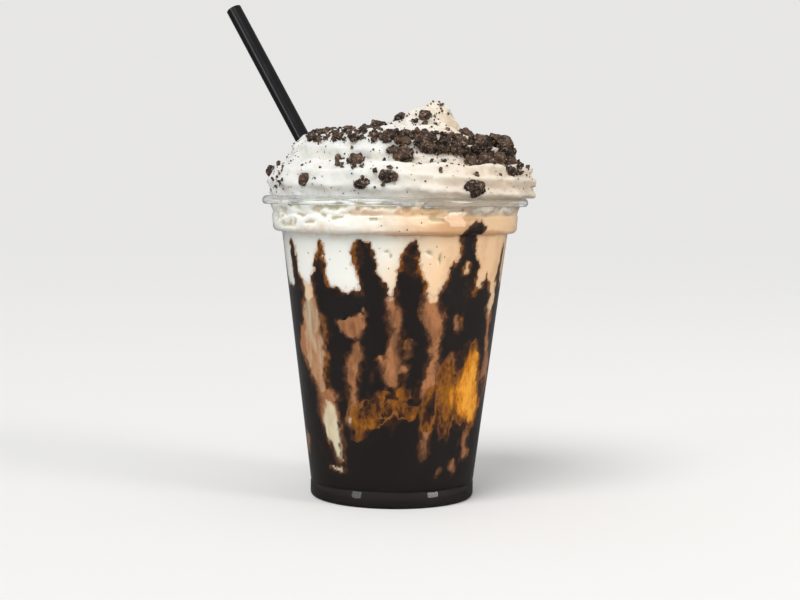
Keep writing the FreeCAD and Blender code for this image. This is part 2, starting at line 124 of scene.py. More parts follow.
# Sauce that ran down the wall under the cream: rows of (height, bearing, half width in degrees), upwards.
SAUCE_RUNS = (
    ((70, -61, 4.2), (75, -61, 4.6), (78, -61.5, 5.6), (81, -61.5, 4.6), (85, -63, 3.6), (90, -64, 3.8),
     (93, -64.5, 2.4), (95, -65, 0.6)),
    ((79.5, -57, 2.0), (80.5, -55, 1.6), (81.6, -57.5, 1.2)),
    ((72, -36, 9.5), (76, -38, 8.0), (80, -41, 6.2), (82, -42.2, 6.6), (84.5, -41.6, 5.8), (87, -40.6, 4.6),
     (90, -40, 3.0), (93, -40, 1.9), (95.3, -40.2, 0.5)),
    ((40, -9.5, 8.5), (50, -12, 7.5), (60, -10.5, 8.0), (66, -9.5, 6.4), (70, -10, 5.6), (74, -10.5, 6.6),
     (78, -11, 7.6), (81, -11.5, 7.0), (84, -13.5, 7.0), (88, -15, 6.4), (91.5, -16, 6.0), (93.5, -16.4, 5.4),
     (95.4, -17, 3.0)),
    ((38, 9, 6.0), (46, 12, 5.5), (56, 13, 6.0), (66, 9, 5.6), (70, 8.6, 6.2), (74, 9.6, 7.4),
     (77.5, 10.4, 9.6), (80.5, 9.4, 8.4), (83, 8.6, 6.6), (86, 8.6, 5.2), (91, 8.6, 4.6), (93, 8.8, 3.4),
     (94.6, 9, 2.0)),
    ((56, 35, 7.0), (64, 36, 8.5), (70, 36, 9.0), (76, 36.5, 9.2), (80, 37.5, 9.6), (84, 39, 9.4),
     (88, 39.6, 8.6), (91, 39.4, 6.6), (95, 39, 5.2), (98, 39.4, 5.4), (100, 40.2, 4.8), (102, 40.4, 3.6),
     (103.4, 40, 1.4)),
    ((55, 54, 8.0), (66, 54, 7.6), (74, 54.4, 6.2), (79, 56.6, 4.6), (82, 57.6, 2.6), (85.2, 57.6, 0.8)),
    ((40, 79, 4.0), (50, 78, 4.0), (60, 76, 5.0), (70, 75, 4.8), (78, 73, 4.2), (83, 70.6, 3.6),
     (88, 72, 2.4), (93.5, 72.6, 1.2)),
    ((30, -79, 9.0), (45, -82, 8.0), (60, -84, 8.0), (72, -80, 7.0), (80, -82, 3.6), (88, -83, 1.6)),
)
# Places in the sauce where the drink shows through, in the same way.
WINDOWS = (
    ((42, -47, 6.0), (47, -50, 6.4), (52, -52, 11.0), (57, -54, 13.0), (62, -54, 12.5), (67, -51, 8.5),
     (72, -51, 6.6), (77, -52, 5.6), (80.5, -52, 4.2), (84, -51, 1.0)),
    ((16.4, -36.6, 1.6), (20, -37.2, 3.4), (24, -39.4, 6.0), (29, -42, 9.0), (34, -43.5, 9.0),
     (38, -44.8, 6.6), (42, -46, 5.8), (45, -48, 6.0)),
    ((38.6, -36.6, 1.6), (40, -39, 4.0), (42, -41, 3.6)),
    ((13.2, -41, 5.2), (14.2, -37.4, 2.2)),
    ((61, -19.4, 1.0), (63, -21, 4.0), (65.5, -23.6, 8.0), (67.6, -24, 8.6), (69.2, -19, 4.4),
     (71, -18, 1.4)),
    ((26, -22.5, 2.6), (29, -21, 3.6), (32, -22.5, 3.8), (36, -23.4, 3.2), (41, -24.6, 2.6), (46, -25, 2.8),
     (51, -24.4, 4.4), (55, -23, 4.8), (59, -21.6, 2.4)),
    ((31.4, -28, 3.8), (33, -28, 3.8)),
    ((44, 0.6, 1.6), (48, 0.4, 4.6), (52, -0.6, 5.0), (56, -0.4, 4.4), (60, 0.4, 2.6), (65, 0.8, 2.8),
     (70, -0.4, 4.0), (74, -1.2, 3.2), (78, -1.4, 2.0), (82, -1.4, 1.6)),
    ((53.4, -6, 3.0), (54.6, -6, 2.4)),
    ((50, 5, 3.2), (52, 5.4, 2.4)),
    ((40.4, 5.6, 5.0), (43.2, 4.6, 5.4)),
    ((55, 8.2, 1.4), (58, 8.0, 2.0), (61, 8.6, 0.6)),
    ((19, 20.2, 1.3), (25, 20.4, 1.7), (30, 20.8, 2.6), (36, 22, 4.4), (42, 22.6, 5.0), (47, 22.4, 5.0),
     (52, 23.2, 3.4), (57, 22.6, 2.4), (62, 22.4, 3.2), (66, 21.6, 5.2), (70, 20.6, 6.2), (74, 20.6, 5.2),
     (78, 21.6, 3.6), (82, 22, 2.0)),
    ((64.6, 37.4, 2.0), (66.5, 36.4, 2.6), (69.5, 35.8, 1.4)),
    ((84.6, 40, 0.8), (87, 40, 1.5), (89, 40.4, 0.8)),
    ((25.6, 35.6, 2.2), (29, 34, 3.4), (34, 34.4, 4.4), (39, 35.6, 6.0), (44, 34.6, 6.4), (49, 33, 5.4),
     (54, 32.6, 2.6), (56, 32.4, 0.6)),
    ((29, 57.5, 3.6), (32, 54.6, 8.6), (36, 52.6, 11.2), (40, 51.6, 12.6), (45, 50.6, 9.4), (50, 51, 7.0),
     (55, 52.4, 5.4), (58.6, 51, 2.4), (60, 50.6, 0.6)),
    ((35, 63, 4.0), (40, 69, 6.0), (45, 72, 6.4), (50, 71.6, 5.0), (56, 69, 3.6), (62, 66.6, 2.8),
     (68, 64.6, 2.8), (74, 64.6, 4.0), (79, 64, 4.0), (82, 64, 2.0)),
    ((33.6, 9, 5.0), (36.4, 7, 8.5), (38.0, 4, 4.0)),
    ((34.2, -4, 4.0), (36.0, -3, 6.5), (37.4, -5, 3.0)),
    ((33.6, -15, 3.4), (35.6, -14, 5.5), (38.8, -12, 4.0)),
    ((30.8, -13, 3.0), (32.0, -11, 5.0)),
    ((40.4, -7, 2.4), (41.8, -6, 3.0)),
    ((15.4, 53.4, 1.6), (19, 56, 5.6), (20.6, 53.6, 2.6), (24, 52.6, 2.2), (26, 54.6, 2.0)),
    ((11.4, 29, 2.4), (12.8, 32, 2.0)),
    ((13.6, 43, 3.8), (14.6, 43, 3.8)),
    ((18, -76, 4.0), (22, -75, 5.0)),
)
# Where the sauce is thin, so that it looks brown.
THIN_PLACES = (
    ((84, -39, 3.4), (88, -39.6, 3.4), (96, -40, 2.4)),
    ((84.6, -20.4, 1.4), (88, -18.6, 2.8), (92, -18.4, 3.2), (95, -20, 2.6)),
    ((84.4, 10.4, 4.4), (88, 8.6, 5.6), (90.2, 7.6, 5.4)),
    ((92, 34.4, 2.2), (96, 35.6, 3.0), (98, 36, 1.4)),
    ((84, 40, 3.0), (88, 40, 3.4)),
    ((80, -36, 2.4), (84, -36, 1.6)),
    ((78, 18, 2.0), (82, 15, 3.0), (84, 14, 2.0)),
    ((79, 58.8, 2.0), (84, 58.8, 2.4)),
    ((31, -8, 16.0), (35, -4, 26.0), (38, -6, 22.0)),
    ((29, 44, 26.0), (40, 44, 24.0), (54, 46, 17.0), (60, 50, 6.0)),
)
# Where the drink is brightest amber.
GLOW_PLACES = (
    ((31, 56, 3.0), (36, 55, 7.0), (42, 54, 9.0), (49, 54, 6.0), (56, 54, 4.0)),
)
# Streaks of sauce drawn along the neck: bearing, height, half width in degrees, half height.
STREAKS = (
    (18, 98.5, 34, 1.0), (27, 100.6, 12, 2.6), (-14, 105.4, 9, 1.3), (3, 105.6, 5, 1.7), (14, 106.0, 8, 1.2),
    (31, 104.2, 9, 1.1), (52, 98.8, 12, 1.2),
)
# Marbling of the drink: paler, faintly paler, ivory, russet and amber places, in rows like the runs'.
PALE_PLACES = (
    ((76, -52, 4.0), (82, -52, 5.0)),
    ((77, -1.4, 3.0), (84, -1.4, 4.0)),
    ((76, 22, 4.0), (84, 22, 5.0)),
    ((72, 64.5, 4.0), (84, 64, 6.0)),
)
FAINT_PLACES = (
    ((42, -47, 4.0), (50, -51, 8.0), (60, -52, 9.5), (70, -51, 7.0), (80, -52, 5.0)),
)
IVORY_PLACES = (
    ((18, -36, 3.0), (24, -40, 7.0), (30, -42, 8.0), (36, -44, 5.0), (38, -45, 2.0)),
    ((12.4, -40, 6.0), (14.8, -39, 5.0)),
    ((31.4, -27, 1.0), (32.8, -26, 1.2)),
)
RUSSET_PLACES = (
    ((26, 35, 3.0), (34, 35, 5.0), (44, 35, 7.0), (52, 33, 4.0)),
    ((28, 57, 4.0), (34, 54, 12.0), (42, 51, 15.0), (50, 51, 9.0), (60, 51.5, 6.0)),
    ((40, 5, 6.0), (44, 5, 6.0)),
    ((30, -12, 8.0), (34, -6, 16.0), (38, -4, 16.0), (42, -7, 4.0)),
    ((33, 9, 8.0), (38, 8, 9.0)),
    ((24, -21, 4.0), (30, -20.6, 4.0), (36, -22, 2.6)),
    ((30, 22, 4.0), (44, 25, 4.0)),
    ((36, 66, 6.0), (44, 72, 6.0)),
)
AMBER_PLACES = (
    ((31, 57, 4.0), (36, 55, 9.0), (42, 53.0, 11.0), (50, 52, 7.0), (58, 52.5, 4.0)),
    ((34, 34, 3.0), (40, 34, 4.6), (47, 34, 4.0)),
)
# Brown marks on the cream behind the wall: where sauce stains it, and in the first row a line along the foot
# of the band.
STAINS = (
    ((98.3, -34, 26.0), (99.1, -34, 26.0)),
    ((98.4, 10, 12.0), (99.8, 5, 17.0), (101.2, 0, 7.0)),
    ((98.4, 29, 7.0), (101, 30, 8.0), (103.2, 31, 4.0)),
    ((84, 50, 1.6), (90, 50.6, 2.4), (97, 52, 2.0)),
    ((83, 63.5, 2.0), (90, 64.5, 2.6), (96, 66, 2.0)),
    ((103.4, -2, 7.0), (104.4, -6, 5.0)),
    ((82, 26, 2.0), (86, 27, 2.4), (93, 28, 1.4)),
)
# Lowest line of the cream on the wall, as (bearing, height) round the cup.
CREAM_LINE = (
    (-180, 82), (-160, 74), (-140, 83), (-122, 76), (-100, 82), (-88, 78), (-80, 79), (-74, 77), (-68, 74),
    (-65, 80), (-55, 80.6), (-50, 80.4), (-46, 81), (-38, 80), (-34, 79.6), (-28, 77.6), (-23, 75.2),
    (-18.6, 72.6), (-16, 79), (-8, 80), (-3, 77.5), (-0.6, 77), (3, 80), (12, 82), (17, 79.4), (21.6, 76.8),
    (26, 79), (30, 82), (46, 80), (49.4, 77), (53, 81), (61, 80), (64.6, 71.4), (68, 69.6), (72, 76),
    (80, 80), (98, 75), (116, 83), (134, 75), (152, 84), (168, 77), (180, 82),
)
# Hollows in which the cream doesn't touch the neck, sunk back from the wall and tinted with painted shade:
# (bearing, height, half width, half height).
HOLLOWS = (
    (-36, 106.8, 4.0, 1.5), (-26, 107.4, 5.6, 1.3), (-14, 107.0, 5.0, 1.0), (-4.6, 106.8, 4.4, 1.5),
    (4.4, 107.2, 3.4, 1.5), (14.5, 106.8, 4.6, 1.3), (27, 106.6, 3.6, 1.0), (-63, 106.4, 5.0, 1.2),
    (-50, 107.2, 4.0, 1.0), (44, 107.4, 5.0, 1.0), (58, 106.8, 4.0, 1.2), (-71, 103.0, 2.6, 1.6),
    (-62.5, 104.4, 3.4, 0.8), (-47, 104.2, 4.4, 0.8), (-52.5, 102.0, 1.8, 1.2), (-42, 101.6, 3.4, 0.9),
    (-33, 103.6, 2.6, 1.2), (-57, 100.6, 3.2, 0.8), (9.2, 92.8, 1.0, 0.8), (-3.4, 92.4, 1.1, 0.9),
    (-1.6, 90.2, 0.9, 0.7), (17.4, 91.6, 1.3, 0.9), (23, 88.4, 1.0, 2.0), (100, 106.8, 6.0, 1.4),
    (122, 107, 5.0, 1.2), (150, 106.6, 6.0, 1.4), (176, 107.2, 5.0, 1.2), (-160, 106.8, 6.0, 1.4),
    (-132, 107, 4.0, 1.2), (-104, 106.6, 6.0, 1.4), (130, 103, 3.0, 1.4), (-118, 102.6, 3.4, 1.2),
)
FAINTNESS = 0.58             # how far the faintly paler places go
END_DEPTH = 1.6              # greatest depth in millimetres above and below a row's ends, and its slope there
END_SLOPE = 1.4
WALL_MEAN = (29.8, 0.124, 6.7, 92.0)  # wall's radius at its foot, its slope, and the heights it spans
# Noise as rows of amount, size in millimetres and seed.
SHIFT_NOISE = ((1.7, 7.0, 11), (1.2, 2.3, 23))
LIFT_NOISE = ((1.3, 6.0, 31), (0.9, 1.9, 37))
LEVEL_NOISE = ((0.8, 4.0, 41),)
SETTLED_TOP = 78.6           # height up to which the sauce covers the wall between its runs
LOW_DOWN = (58.0, 40.0)      # heights between which the sauce's edges grow more ragged
ALWAYS_SAUCE = (12.0, 6.0)   # height under which there is always sauce, and the greatest depth there
CREAM_SLOPE = 0.7
BACK_RUNS = 9                # runs of sauce on the side away from the front
BACK_WINDOWS = 26

# --- Piped swirl, as in the CAD model: heights are above the rim -----------------------------------------
ROPE_STATIONS = (
    (0.00, 0.970, 1.5, 5.0),
    (0.22, 0.995, 3.6, 8.8),
    (0.50, 1.000, 4.4, 9.0),
    (0.78, 0.985, 4.0, 9.2),
    (1.02, 0.993, 4.2, 8.9),
    (1.25, 0.933, 8.5, 8.6),
    (1.50, 0.910, 16.2, 7.6),
    (1.76, 0.771, 13.2, 8.7),
    (2.00, 0.736, 13.0, 8.2),
    (2.25, 0.560, 15.0, 8.0),
    (2.50, 0.378, 18.6, 7.6),
    (2.75, 0.348, 18.0, 7.4),
    (3.00, 0.323, 17.6, 6.6),
    (3.25, 0.200, 19.0, 5.5),
    (3.50, 0.075, 20.5, 3.5),
)
MOUND_STATIONS = (
    (-8.0, 0.920),
    (7.0, 0.815),
    (17.0, 0.570),
    (23.0, 0.410),
    (27.0, 0.300),
    (31.0, 0.194),
    (34.0, 0.085),
    (35.2, 0.025),
)
SWIRL_INSET = 8.8
PEAK_LOBES = 7
PEAK_LOBE_DEPTH = 1.7
PEAK_LOBE_START = 20.0
PEAK_LOBE_RISE = 5.0
PEAK_LOBE_RADIUS = 6.0
PEAK_TWIST = 0.16
SWIRL_SHIFT = 2.5
SWIRL_LEAN = 12.5
SWIRL_LEAN_START = 7.0
SWIRL_LEAN_POWER = 1.5
RADIUS_WAVES = ((0.35, 2.3, 0.6), (0.2, 5.1, 0.0))
HEIGHT_WAVES = ((0.3, 1.7, 2.0), (0.2, 4.3, 1.0))
HALF_WAVES = ((0.25, 3.7, 0.4),)
LEAST_HALF = 0.5
RIDGE_COUNT = 11
RIDGE_TWIST = 1.6
FOLDS = 17.0                 # folds across the rope in each turn
FOLD_SLANT = 1.4
FOLD_DEPTH = 0.36
CREASE_SHADE = 0.3            # how much painted shade darkens the creases of the swirl, in the colour of the painted shade in its hollows
CREASE_ROUNDS = 24           # rounds of smoothing that find the creases, and the depth of a full one
CREASE_DEPTH = 0.4
SWIRL_LUMPS = ((0.55, 7.0, 71), (0.26, 2.6, 79))
TEAR_SIZE = 4.2              # size and depth of the torn places, and the noise's level where they start
TEAR_DEPTH = 0.9
TEAR_LEVEL = 0.35
RIM_CLEARANCE = 0.02
ROPE_STEPS = 620             # sections along the rope
SECTION_POINTS = 110         # points round each section

# --- Crumbs ----------------------------------------------------------------------------------------------
BREAKS = 5                   # flat faces where each crumb broke off
FINER_FROM = (0.9, 2.0)      # sizes from which a crumb has more faces
CRUMB_SINK = 0.3             # how far from its middle a crumb touches, as a share of its size
FALL_FROM = 60.0             # height over the rim that crumbs fall from, and distance they're thrown from
THROWN_FROM = 120.0
DUST_SPREAD = 46.0           # radius that the dust falls on, and its middle to the right
DUST_MIDDLE = 4.0
DUST_BLOWN_FROM = 80.0       # radius that dust is blown in from
SPECK_BAND = (86.0, 108.0)   # heights of the strewn specks on the wall
SPECK_THICKNESS = 0.3
SPECK_REACH = 0.08           # how far they reach into the wall
FULL_TURN = 6.283
COOKIE_LUMPS = (0.42, 1.9)   # depth and size of the bumps, and of the pits, on a cookie piece
COOKIE_PITS = (0.45, 1.0)
COOKIE_SWELL = 0.3
COOKIE_SIZE = 6.0            # size of a piece whose bumps have that depth
# Heaps on the front slopes: across, height over the rim, their half sizes, count, smallest and largest.
HEAPS = (
    (-15.0, 21.6, 17.0, 2.4, 150, 0.8, 3.2),
    (5.0, 19.0, 7.0, 4.0, 56, 1.2, 5.0),
    (17.0, 18.5, 8.0, 3.2, 46, 1.2, 4.4),
    (33.0, 16.5, 9.0, 4.6, 90, 1.2, 5.4),
    (41.5, 12.0, 3.6, 3.6, 16, 1.2, 4.0),
    (13.0, 29.0, 8.0, 4.0, 9, 0.6, 2.2),
    (14.5, 33.5, 3.6, 2.0, 14, 0.5, 1.7),
    (-16.0, 12.0, 5.0, 2.6, 12, 0.8, 2.4),
    (-8.0, 5.0, 4.0, 2.0, 8, 0.8, 2.2),
    (-42.0, 7.0, 2.6, 4.0, 12, 0.8, 2.4),
    (15.4, 9.6, 0.6, 0.6, 3, 1.4, 2.4),
)
# Heaps along the top of the crest: across, back, their half sizes, count, smallest and largest.
CREST_HEAPS = (
    (-15.0, -8.0, 17.0, 12.0, 150, 0.9, 3.2),
    (30.0, -12.0, 12.0, 10.0, 60, 1.0, 4.4),
    (8.0, 16.0, 26.0, 12.0, 90, 0.8, 3.4),
)
CREST_TOP = 24.5             # the cream is the bare peak above this height over the rim
# Specks seen through the neck: bearing, height and size.
WALL_SPECKS = (
    (-55, 108, 1.5), (-53.5, 107.6, 0.9), (31, 107, 1.0), (12, 105.4, 0.6), (-20, 105.6, 0.5),
    (2, 99.4, 0.6), (22, 103, 0.5), (-9.6, 89.0, 0.7), (4.2, 91.6, 0.8), (2.6, 90.0, 0.6),
    (-3.0, 86.4, 0.8), (5.4, 87.0, 0.6),
    (21.0, 94.0, 0.7), (25.6, 90.4, 0.8), (49.0, 94.0, 0.6), (-28.0, 92.0, 0.6), (-49.0, 91.0, 0.8),
    (-7.4, 93.4, 0.5), (18.0, 88.0, 0.6), (-25.0, 86.0, 0.7),
)

# --- Materials -------------------------------------------------------------------------------------------
PLASTIC_IOR = 1.47
PLASTIC_ROUGHNESS = 0.015
LAMP_PASSES = (0.97, 0.975, 0.97, 1.0)  # how much of a lamp's light the plastic lets through
WET_GLOSS = 0.1              # specular level of what touches the plastic, where no air makes it shine
CREAM_SCATTER = 4.0          # millimetres that light travels inside the cream
STRAW_ROUGHNESS = (0.22, 0.3)

# --- Straw -----------------------------------------------------------------------------------------------
STRAW_ACROSS = -23.1
STRAW_BACK = 6.7
STRAW_ABOVE = 70.6
STRAW_DIP = 2.7
STRAW_END_BEARING = 330.2
STRAW_WALL_GAP = 0.3
STRAW_AROUND = 96

# --- Camera and stage ------------------------------------------------------------------------------------
CAMERA_DISTANCE = 590.0
CAMERA_HEIGHT = 113.3
CAMERA_PITCH = 3.93
CAMERA_YAW = 0.216
CAMERA_ROLL = 0.72
CAMERA_LENS = 71.66
CAMERA_SENSOR = 36.0
TABLE_HALF = 3000.0
KEY_FROM = (-0.38, -0.72, 1.05)  # direction that the key light comes from, and the degrees that it spans
KEY_SOFTNESS = 34.0
MIRRORED_SHARE = 0.5             # share of the daylight and of the table's light that mirrors show
LAMP_AIM = (0.0, 0.0, 0.09)
# Lamps at the sides, in metres: name, place, width and height, share of the power, colour.
LAMPS = (
    ("side_lamp", (1.1, -0.65, 0.5), (0.4, 0.9), 1.0, (1.0, 0.96, 0.90)),
    ("low_lamp", (-0.82, -0.71, 0.30), (0.26, 0.62), 0.22, (0.94, 0.97, 1.0)),
)


# --- Small helpers ---------------------------------------------------------------------------------------

def smooth(value, low, high):
    """A soft step from 0 at low to 1 at high."""
    share = np.clip((value - low) / (high - low), 0.0, 1.0)
    return share * share * (3.0 - 2.0 * share)


def lattice_noise(points, seed):
    """Smooth noise from -1 to 1 at each row of points, whose lattice is one unit wide."""
    points = np.asarray(points, float)
    corner = np.floor(points).astype(np.int64)
    share = points - corner
    share = share * share * (3.0 - 2.0 * share)
    total = np.zeros(len(points))
    for dx in (0, 1):
        for dy in (0, 1):
            for dz in (0, 1):
                mixed = ((corner[:, 0] + dx) * 374761393 + (corner[:, 1] + dy) * 668265263
                         + (corner[:, 2] + dz) * 1442695041 + seed * 974634777) & 0xFFFFFFFF
                mixed = ((mixed ^ (mixed >> 13)) * 1274126177) & 0xFFFFFFFF
                value = ((mixed ^ (mixed >> 16)) & 0xFFFFFF) / float(0xFFFFFF)
                total += np.prod(np.abs(1 - np.array((dx, dy, dz)) - share), axis=1) * value
    return 2.0 * total - 1.0


def layered_noise(points, size, seed, layers=3):
    """Noise of several sizes at points, the coarsest of which has features of the given size."""
    points = np.asarray(points, float) / size
    total, strength = np.zeros(len(points)), 1.0
    for layer in range(layers):
        total += strength * lattice_noise(points * 2.03 ** layer + 17.3 * layer, seed + layer)
        strength *= 0.5
    return total


def rough(points, table):
    """Noise at points that adds up a table's rows of amount, size and seed."""
    return sum(amount * layered_noise(points, size, seed) for amount, size, seed in table)


def add_mesh(name, points, faces, smooth_faces=True):
    """A new mesh object from points in millimetres."""
    mesh = bpy.data.meshes.new(name)
    mesh.from_pydata((np.asarray(points, float) * MM).tolist(), [], faces)
    mesh.validate()
    mesh.polygons.foreach_set("use_smooth", [smooth_faces] * len(mesh.polygons))
    mesh.update()
    piece = bpy.data.objects.new(name, mesh)
    bpy.context.scene.collection.objects.link(piece)
    return piece


def coordinates(mesh):
    """A mesh's points in millimetres."""
    points = np.empty(len(mesh.vertices) * 3)
    mesh.vertices.foreach_get("co", points)
    return points.reshape(-1, 3) / MM


def corners_of(mesh):
    """The corners of each of a mesh's faces."""
    return [tuple(polygon.vertices) for polygon in mesh.polygons]


def normals(mesh):
    """A mesh's normals at its points."""
    directions = np.empty(len(mesh.vertices) * 3, np.float32)
    mesh.vertex_normals.foreach_get("vector", directions)
    return directions.reshape(-1, 3).astype(float)


def move_points(mesh, points):
    """Puts a mesh's points at new places, in millimetres."""
    mesh.vertices.foreach_set("co", (points * MM).ravel())
    mesh.update()


def inside_box(points):
    """Points in millimetres, none of them outside the CAD model's box."""
    low, high = (np.array(corner) / MM for corner in CAD_BOX)
    return np.clip(points, low + BOX_GAP, high - BOX_GAP)


def set_attribute(piece, name, values):
    """Stores a number for each point of a piece, for its finish."""
    attribute = piece.data.attributes.new(name, "FLOAT", "POINT")
    attribute.data.foreach_set("value", np.asarray(values, np.float32))


def applied(piece, kind, **settings):
    """A piece with a modifier applied to its mesh."""
    modifier = piece.modifiers.new("shape", kind)
    for key, value in settings.items():
        setattr(modifier, key, value)
    depsgraph = bpy.context.evaluated_depsgraph_get()
    mesh = bpy.data.meshes.new_from_object(piece.evaluated_get(depsgraph))
    piece.modifiers.clear()
    piece.data = mesh
    return piece


def remeshed(piece, voxel):
    """Fuses a piece's overlapping shells into one skin of small even faces."""
    return applied(piece, "REMESH", mode="VOXEL", voxel_size=voxel * MM, use_smooth_shade=True)


def relaxed(mesh, points, rounds):
    """Points of a mesh after each has moved towards the middle of its neighbours."""
    ends = np.empty(len(mesh.edges) * 2, np.int32)
    mesh.edges.foreach_get("vertices", ends)
    first, second = ends.reshape(-1, 2).T
    counts = np.bincount(ends, minlength=len(points))[:, None].clip(1)
    for _ in range(rounds):
        total = np.zeros_like(points)
        np.add.at(total, first, points[second])
        np.add.at(total, second, points[first])
        points = points + 0.5 * (total / counts - points)
    return points


def joined(name, parts):
    """One mesh object from several lists of points and faces."""
    points, faces, start = [], [], 0
    for part_points, part_faces in parts:
        points.append(np.asarray(part_points, float))
        faces += [tuple(corner + start for corner in face) for face in part_faces]
        start += len(part_points)
    return add_mesh(name, np.concatenate(points), faces)


def finish_piece(piece, material, nodes):
    """Gives a piece its finish, hangs it from the root body, and hides the CAD nodes that it takes the place
    of.
    """
    piece.data.materials.clear()
    piece.data.materials.append(material)
    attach(piece, "root")
    if nodes:
        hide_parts(*nodes)


# --- Finishes --------------------------------------------------------------------------------------------

class Finish:
    """A node material, or the world, under construction."""

    def __init__(self, name, kind="Material"):
        self.made = (bpy.data.worlds if kind == "World" else bpy.data.materials).new(name)
        self.made.use_nodes = True
        self.tree = self.made.node_tree
        self.tree.nodes.clear()
        self.output = self.tree.nodes.new("ShaderNodeOutput" + kind)

    def add(self, kind, inputs=None, **settings):
        """A node with its settings, and its inputs set to values or linked to sockets."""
        made = self.tree.nodes.new(kind)
        for key, value in settings.items():
            setattr(made, key, value)
        for key, value in (inputs or {}).items():
            if isinstance(value, bpy.types.NodeSocket):
                self.tree.links.new(value, made.inputs[key])
            else:
                made.inputs[key].default_value = value
        return made

    def place(self):
        """The object's own coordinates, in metres."""
        return self.add("ShaderNodeTexCoord").outputs["Object"]

    def drawn(self, vector, share):
        """A vector whose noise is drawn out upwards, the more so the smaller the share."""
        return self.add("ShaderNodeMapping", {"Vector": vector, "Scale": (1.0, 1.0, share)}).outputs["Vector"]

    def noise(self, vector, scale, detail=3.0, roughness=0.55, distortion=0.0):
        """Soft noise from 0 to 1."""
        return self.add("ShaderNodeTexNoise", {
            "Vector": vector, "Scale": scale, "Detail": detail, "Roughness": roughness,
            "Distortion": distortion}).outputs["Fac"]

    def attribute(self, name):
        """A number stored on the piece's points."""
        return self.add("ShaderNodeAttribute", attribute_name=name).outputs["Fac"]

    def band(self, value, low, high, start=0.0, end=1.0):
        """A value taken from low..high to start..end, smoothly and clamped."""
        return self.add("ShaderNodeMapRange", {
            "Value": value, "From Min": low, "From Max": high, "To Min": start, "To Max": end},
            interpolation_type="SMOOTHSTEP").outputs["Result"]

    def math(self, operation, first, second):
        """Two values put together."""
        return self.add("ShaderNodeMath", {0: first, 1: second}, operation=operation).outputs["Value"]

    def plus(self, first, second):
        """The sum of two values."""
        return self.math("ADD", first, second)

    def times(self, first, second):
        """The product of two values."""
        return self.math("MULTIPLY", first, second)

    def mix(self, factor, first, second):
        """Two colours mixed."""
        return self.add("ShaderNodeMix", {0: factor, 6: first, 7: second}, data_type="RGBA").outputs[2]

    def over(self, colour, value, low, high, other, most=1.0):
        """A colour with another laid over it where a value is high."""
        return self.mix(self.band(value, low, high, 0.0, most), colour, other)

    def frayed(self, name, noise, amount):
        """A number stored on the piece's points, whose edges a noise breaks up."""
        return self.plus(self.attribute(name), self.times(noise, amount))

    def ramp(self, value, stops):
        """A colour for each value, through (position, colour) stops."""
        made = self.add("ShaderNodeValToRGB", {"Fac": value})
        elements = made.color_ramp.elements
        elements[0].position, elements[0].color = stops[0]
        elements[-1].position, elements[-1].color = stops[-1]
        for position, colour in stops[1:-1]:
            elements.new(position).color = colour
        return made.outputs["Color"]

    def bump(self, height, strength, distance):
        """A normal that follows a height, whose distance is in millimetres."""
        return self.add("ShaderNodeBump", {
            "Height": height, "Strength": strength, "Distance": distance * MM}).outputs["Normal"]

    def surface(self, **inputs):
        """The finished material, with a Principled shader."""
        named = {key.replace("_", " "): value for key, value in inputs.items()}
        return self.show(self.add("ShaderNodeBsdfPrincipled", named).outputs["BSDF"])

    def show(self, shader):
        """Links a shader to the output, and gives back what was made."""
        self.tree.links.new(shader, self.output.inputs["Surface"])
        return self.made


def colour4(colour):
    """A colour property with its alpha."""
    return (*colour[:3], 1.0)


def shade(colour, factor):
    """A colour darkened or lightened."""
    return (*(min(channel * factor, 1.0) for channel in colour[:3]), 1.0)


def clear_plastic(cup):
    """Clear, polished plastic, which lets lamps reach what it holds."""
    finish = Finish("clear_plastic")
    ripple = finish.noise(finish.drawn(finish.place(), 0.35), 90.0, 2.0)
    shader = finish.add("ShaderNodeBsdfPrincipled", {
        "Base Color": colour4(cup.tint), "Roughness": PLASTIC_ROUGHNESS, "IOR": PLASTIC_IOR,
        "Transmission Weight": 1.0, "Normal": finish.bump(ripple, 0.05, 0.6)})
    through = finish.add("ShaderNodeBsdfTransparent", {"Color": LAMP_PASSES})
    path = finish.add("ShaderNodeLightPath")
    mixed = finish.add("ShaderNodeMixShader", {
        0: path.outputs["Is Shadow Ray"], 1: shader.outputs["BSDF"], 2: through.outputs["BSDF"]})
    return finish.show(mixed.outputs["Shader"])


def cream_colour(finish, cream):
    """Ivory cream with painted warm shade, which grows to the right and is broken into faint marbling by a
    noise.
    """
    place = finish.place()
    cloud = finish.noise(finish.drawn(place, 1.6), 45.0, 4.0, 0.55, 0.4)
    share = finish.band(finish.frayed("warm_shade", cloud, 0.35), 0.25, 1.1)
    # The cream on the wall is painted 8% darker than the swirl, as painted shade, and takes the full painted
    # warm shade where the swirl takes half.
    pressed = finish.attribute("pressed")
    share = finish.times(share, finish.band(pressed, 0.0, 1.0, 0.5, 1.0))
    plain = finish.mix(pressed, colour4(cream.colour), shade(cream.colour, 0.92))
    return finish.mix(share, plain, colour4(cream.warm_cream_and_shade_colour))


def whipped_cream_finish(cream):
    """Soft whipped cream."""
    finish = Finish("whipped_cream")
    place = finish.place()
    colour = cream_colour(finish, cream)
    # Painted shade in the hollows behind the neck and in the creases of the swirl.
    hollow_and_shade = finish.attribute("hollow_and_shade")
    colour = finish.over(colour, hollow_and_shade, 0.0, 1.0, colour4(cream.hollow_shade_colour), 0.75)
    edge = finish.frayed("veil", finish.noise(place, 520.0, 4.0), 0.8)
    colour = finish.over(colour, edge, 0.95, 1.5, colour4(cream.stain_colour), 0.9)
    stain = finish.frayed("stain", finish.noise(place, 200.0, 4.0), 1.0)
    colour = finish.over(colour, stain, 0.6, 1.6, colour4(cream.stain_colour), 0.6)
    fine = finish.noise(place, 900.0, 4.0, 0.6)
    soft = finish.noise(place, 260.0, 3.0)
    height = finish.plus(finish.times(fine, 0.4), soft)
    return finish.surface(
        Base_Color=colour, Roughness=0.5, Normal=finish.bump(height, 0.35, 0.35), Specular_IOR_Level=0.35,
        Subsurface_Weight=0.6, Subsurface_Radius=(1.0, 0.82, 0.62), Subsurface_Scale=CREAM_SCATTER * MM)


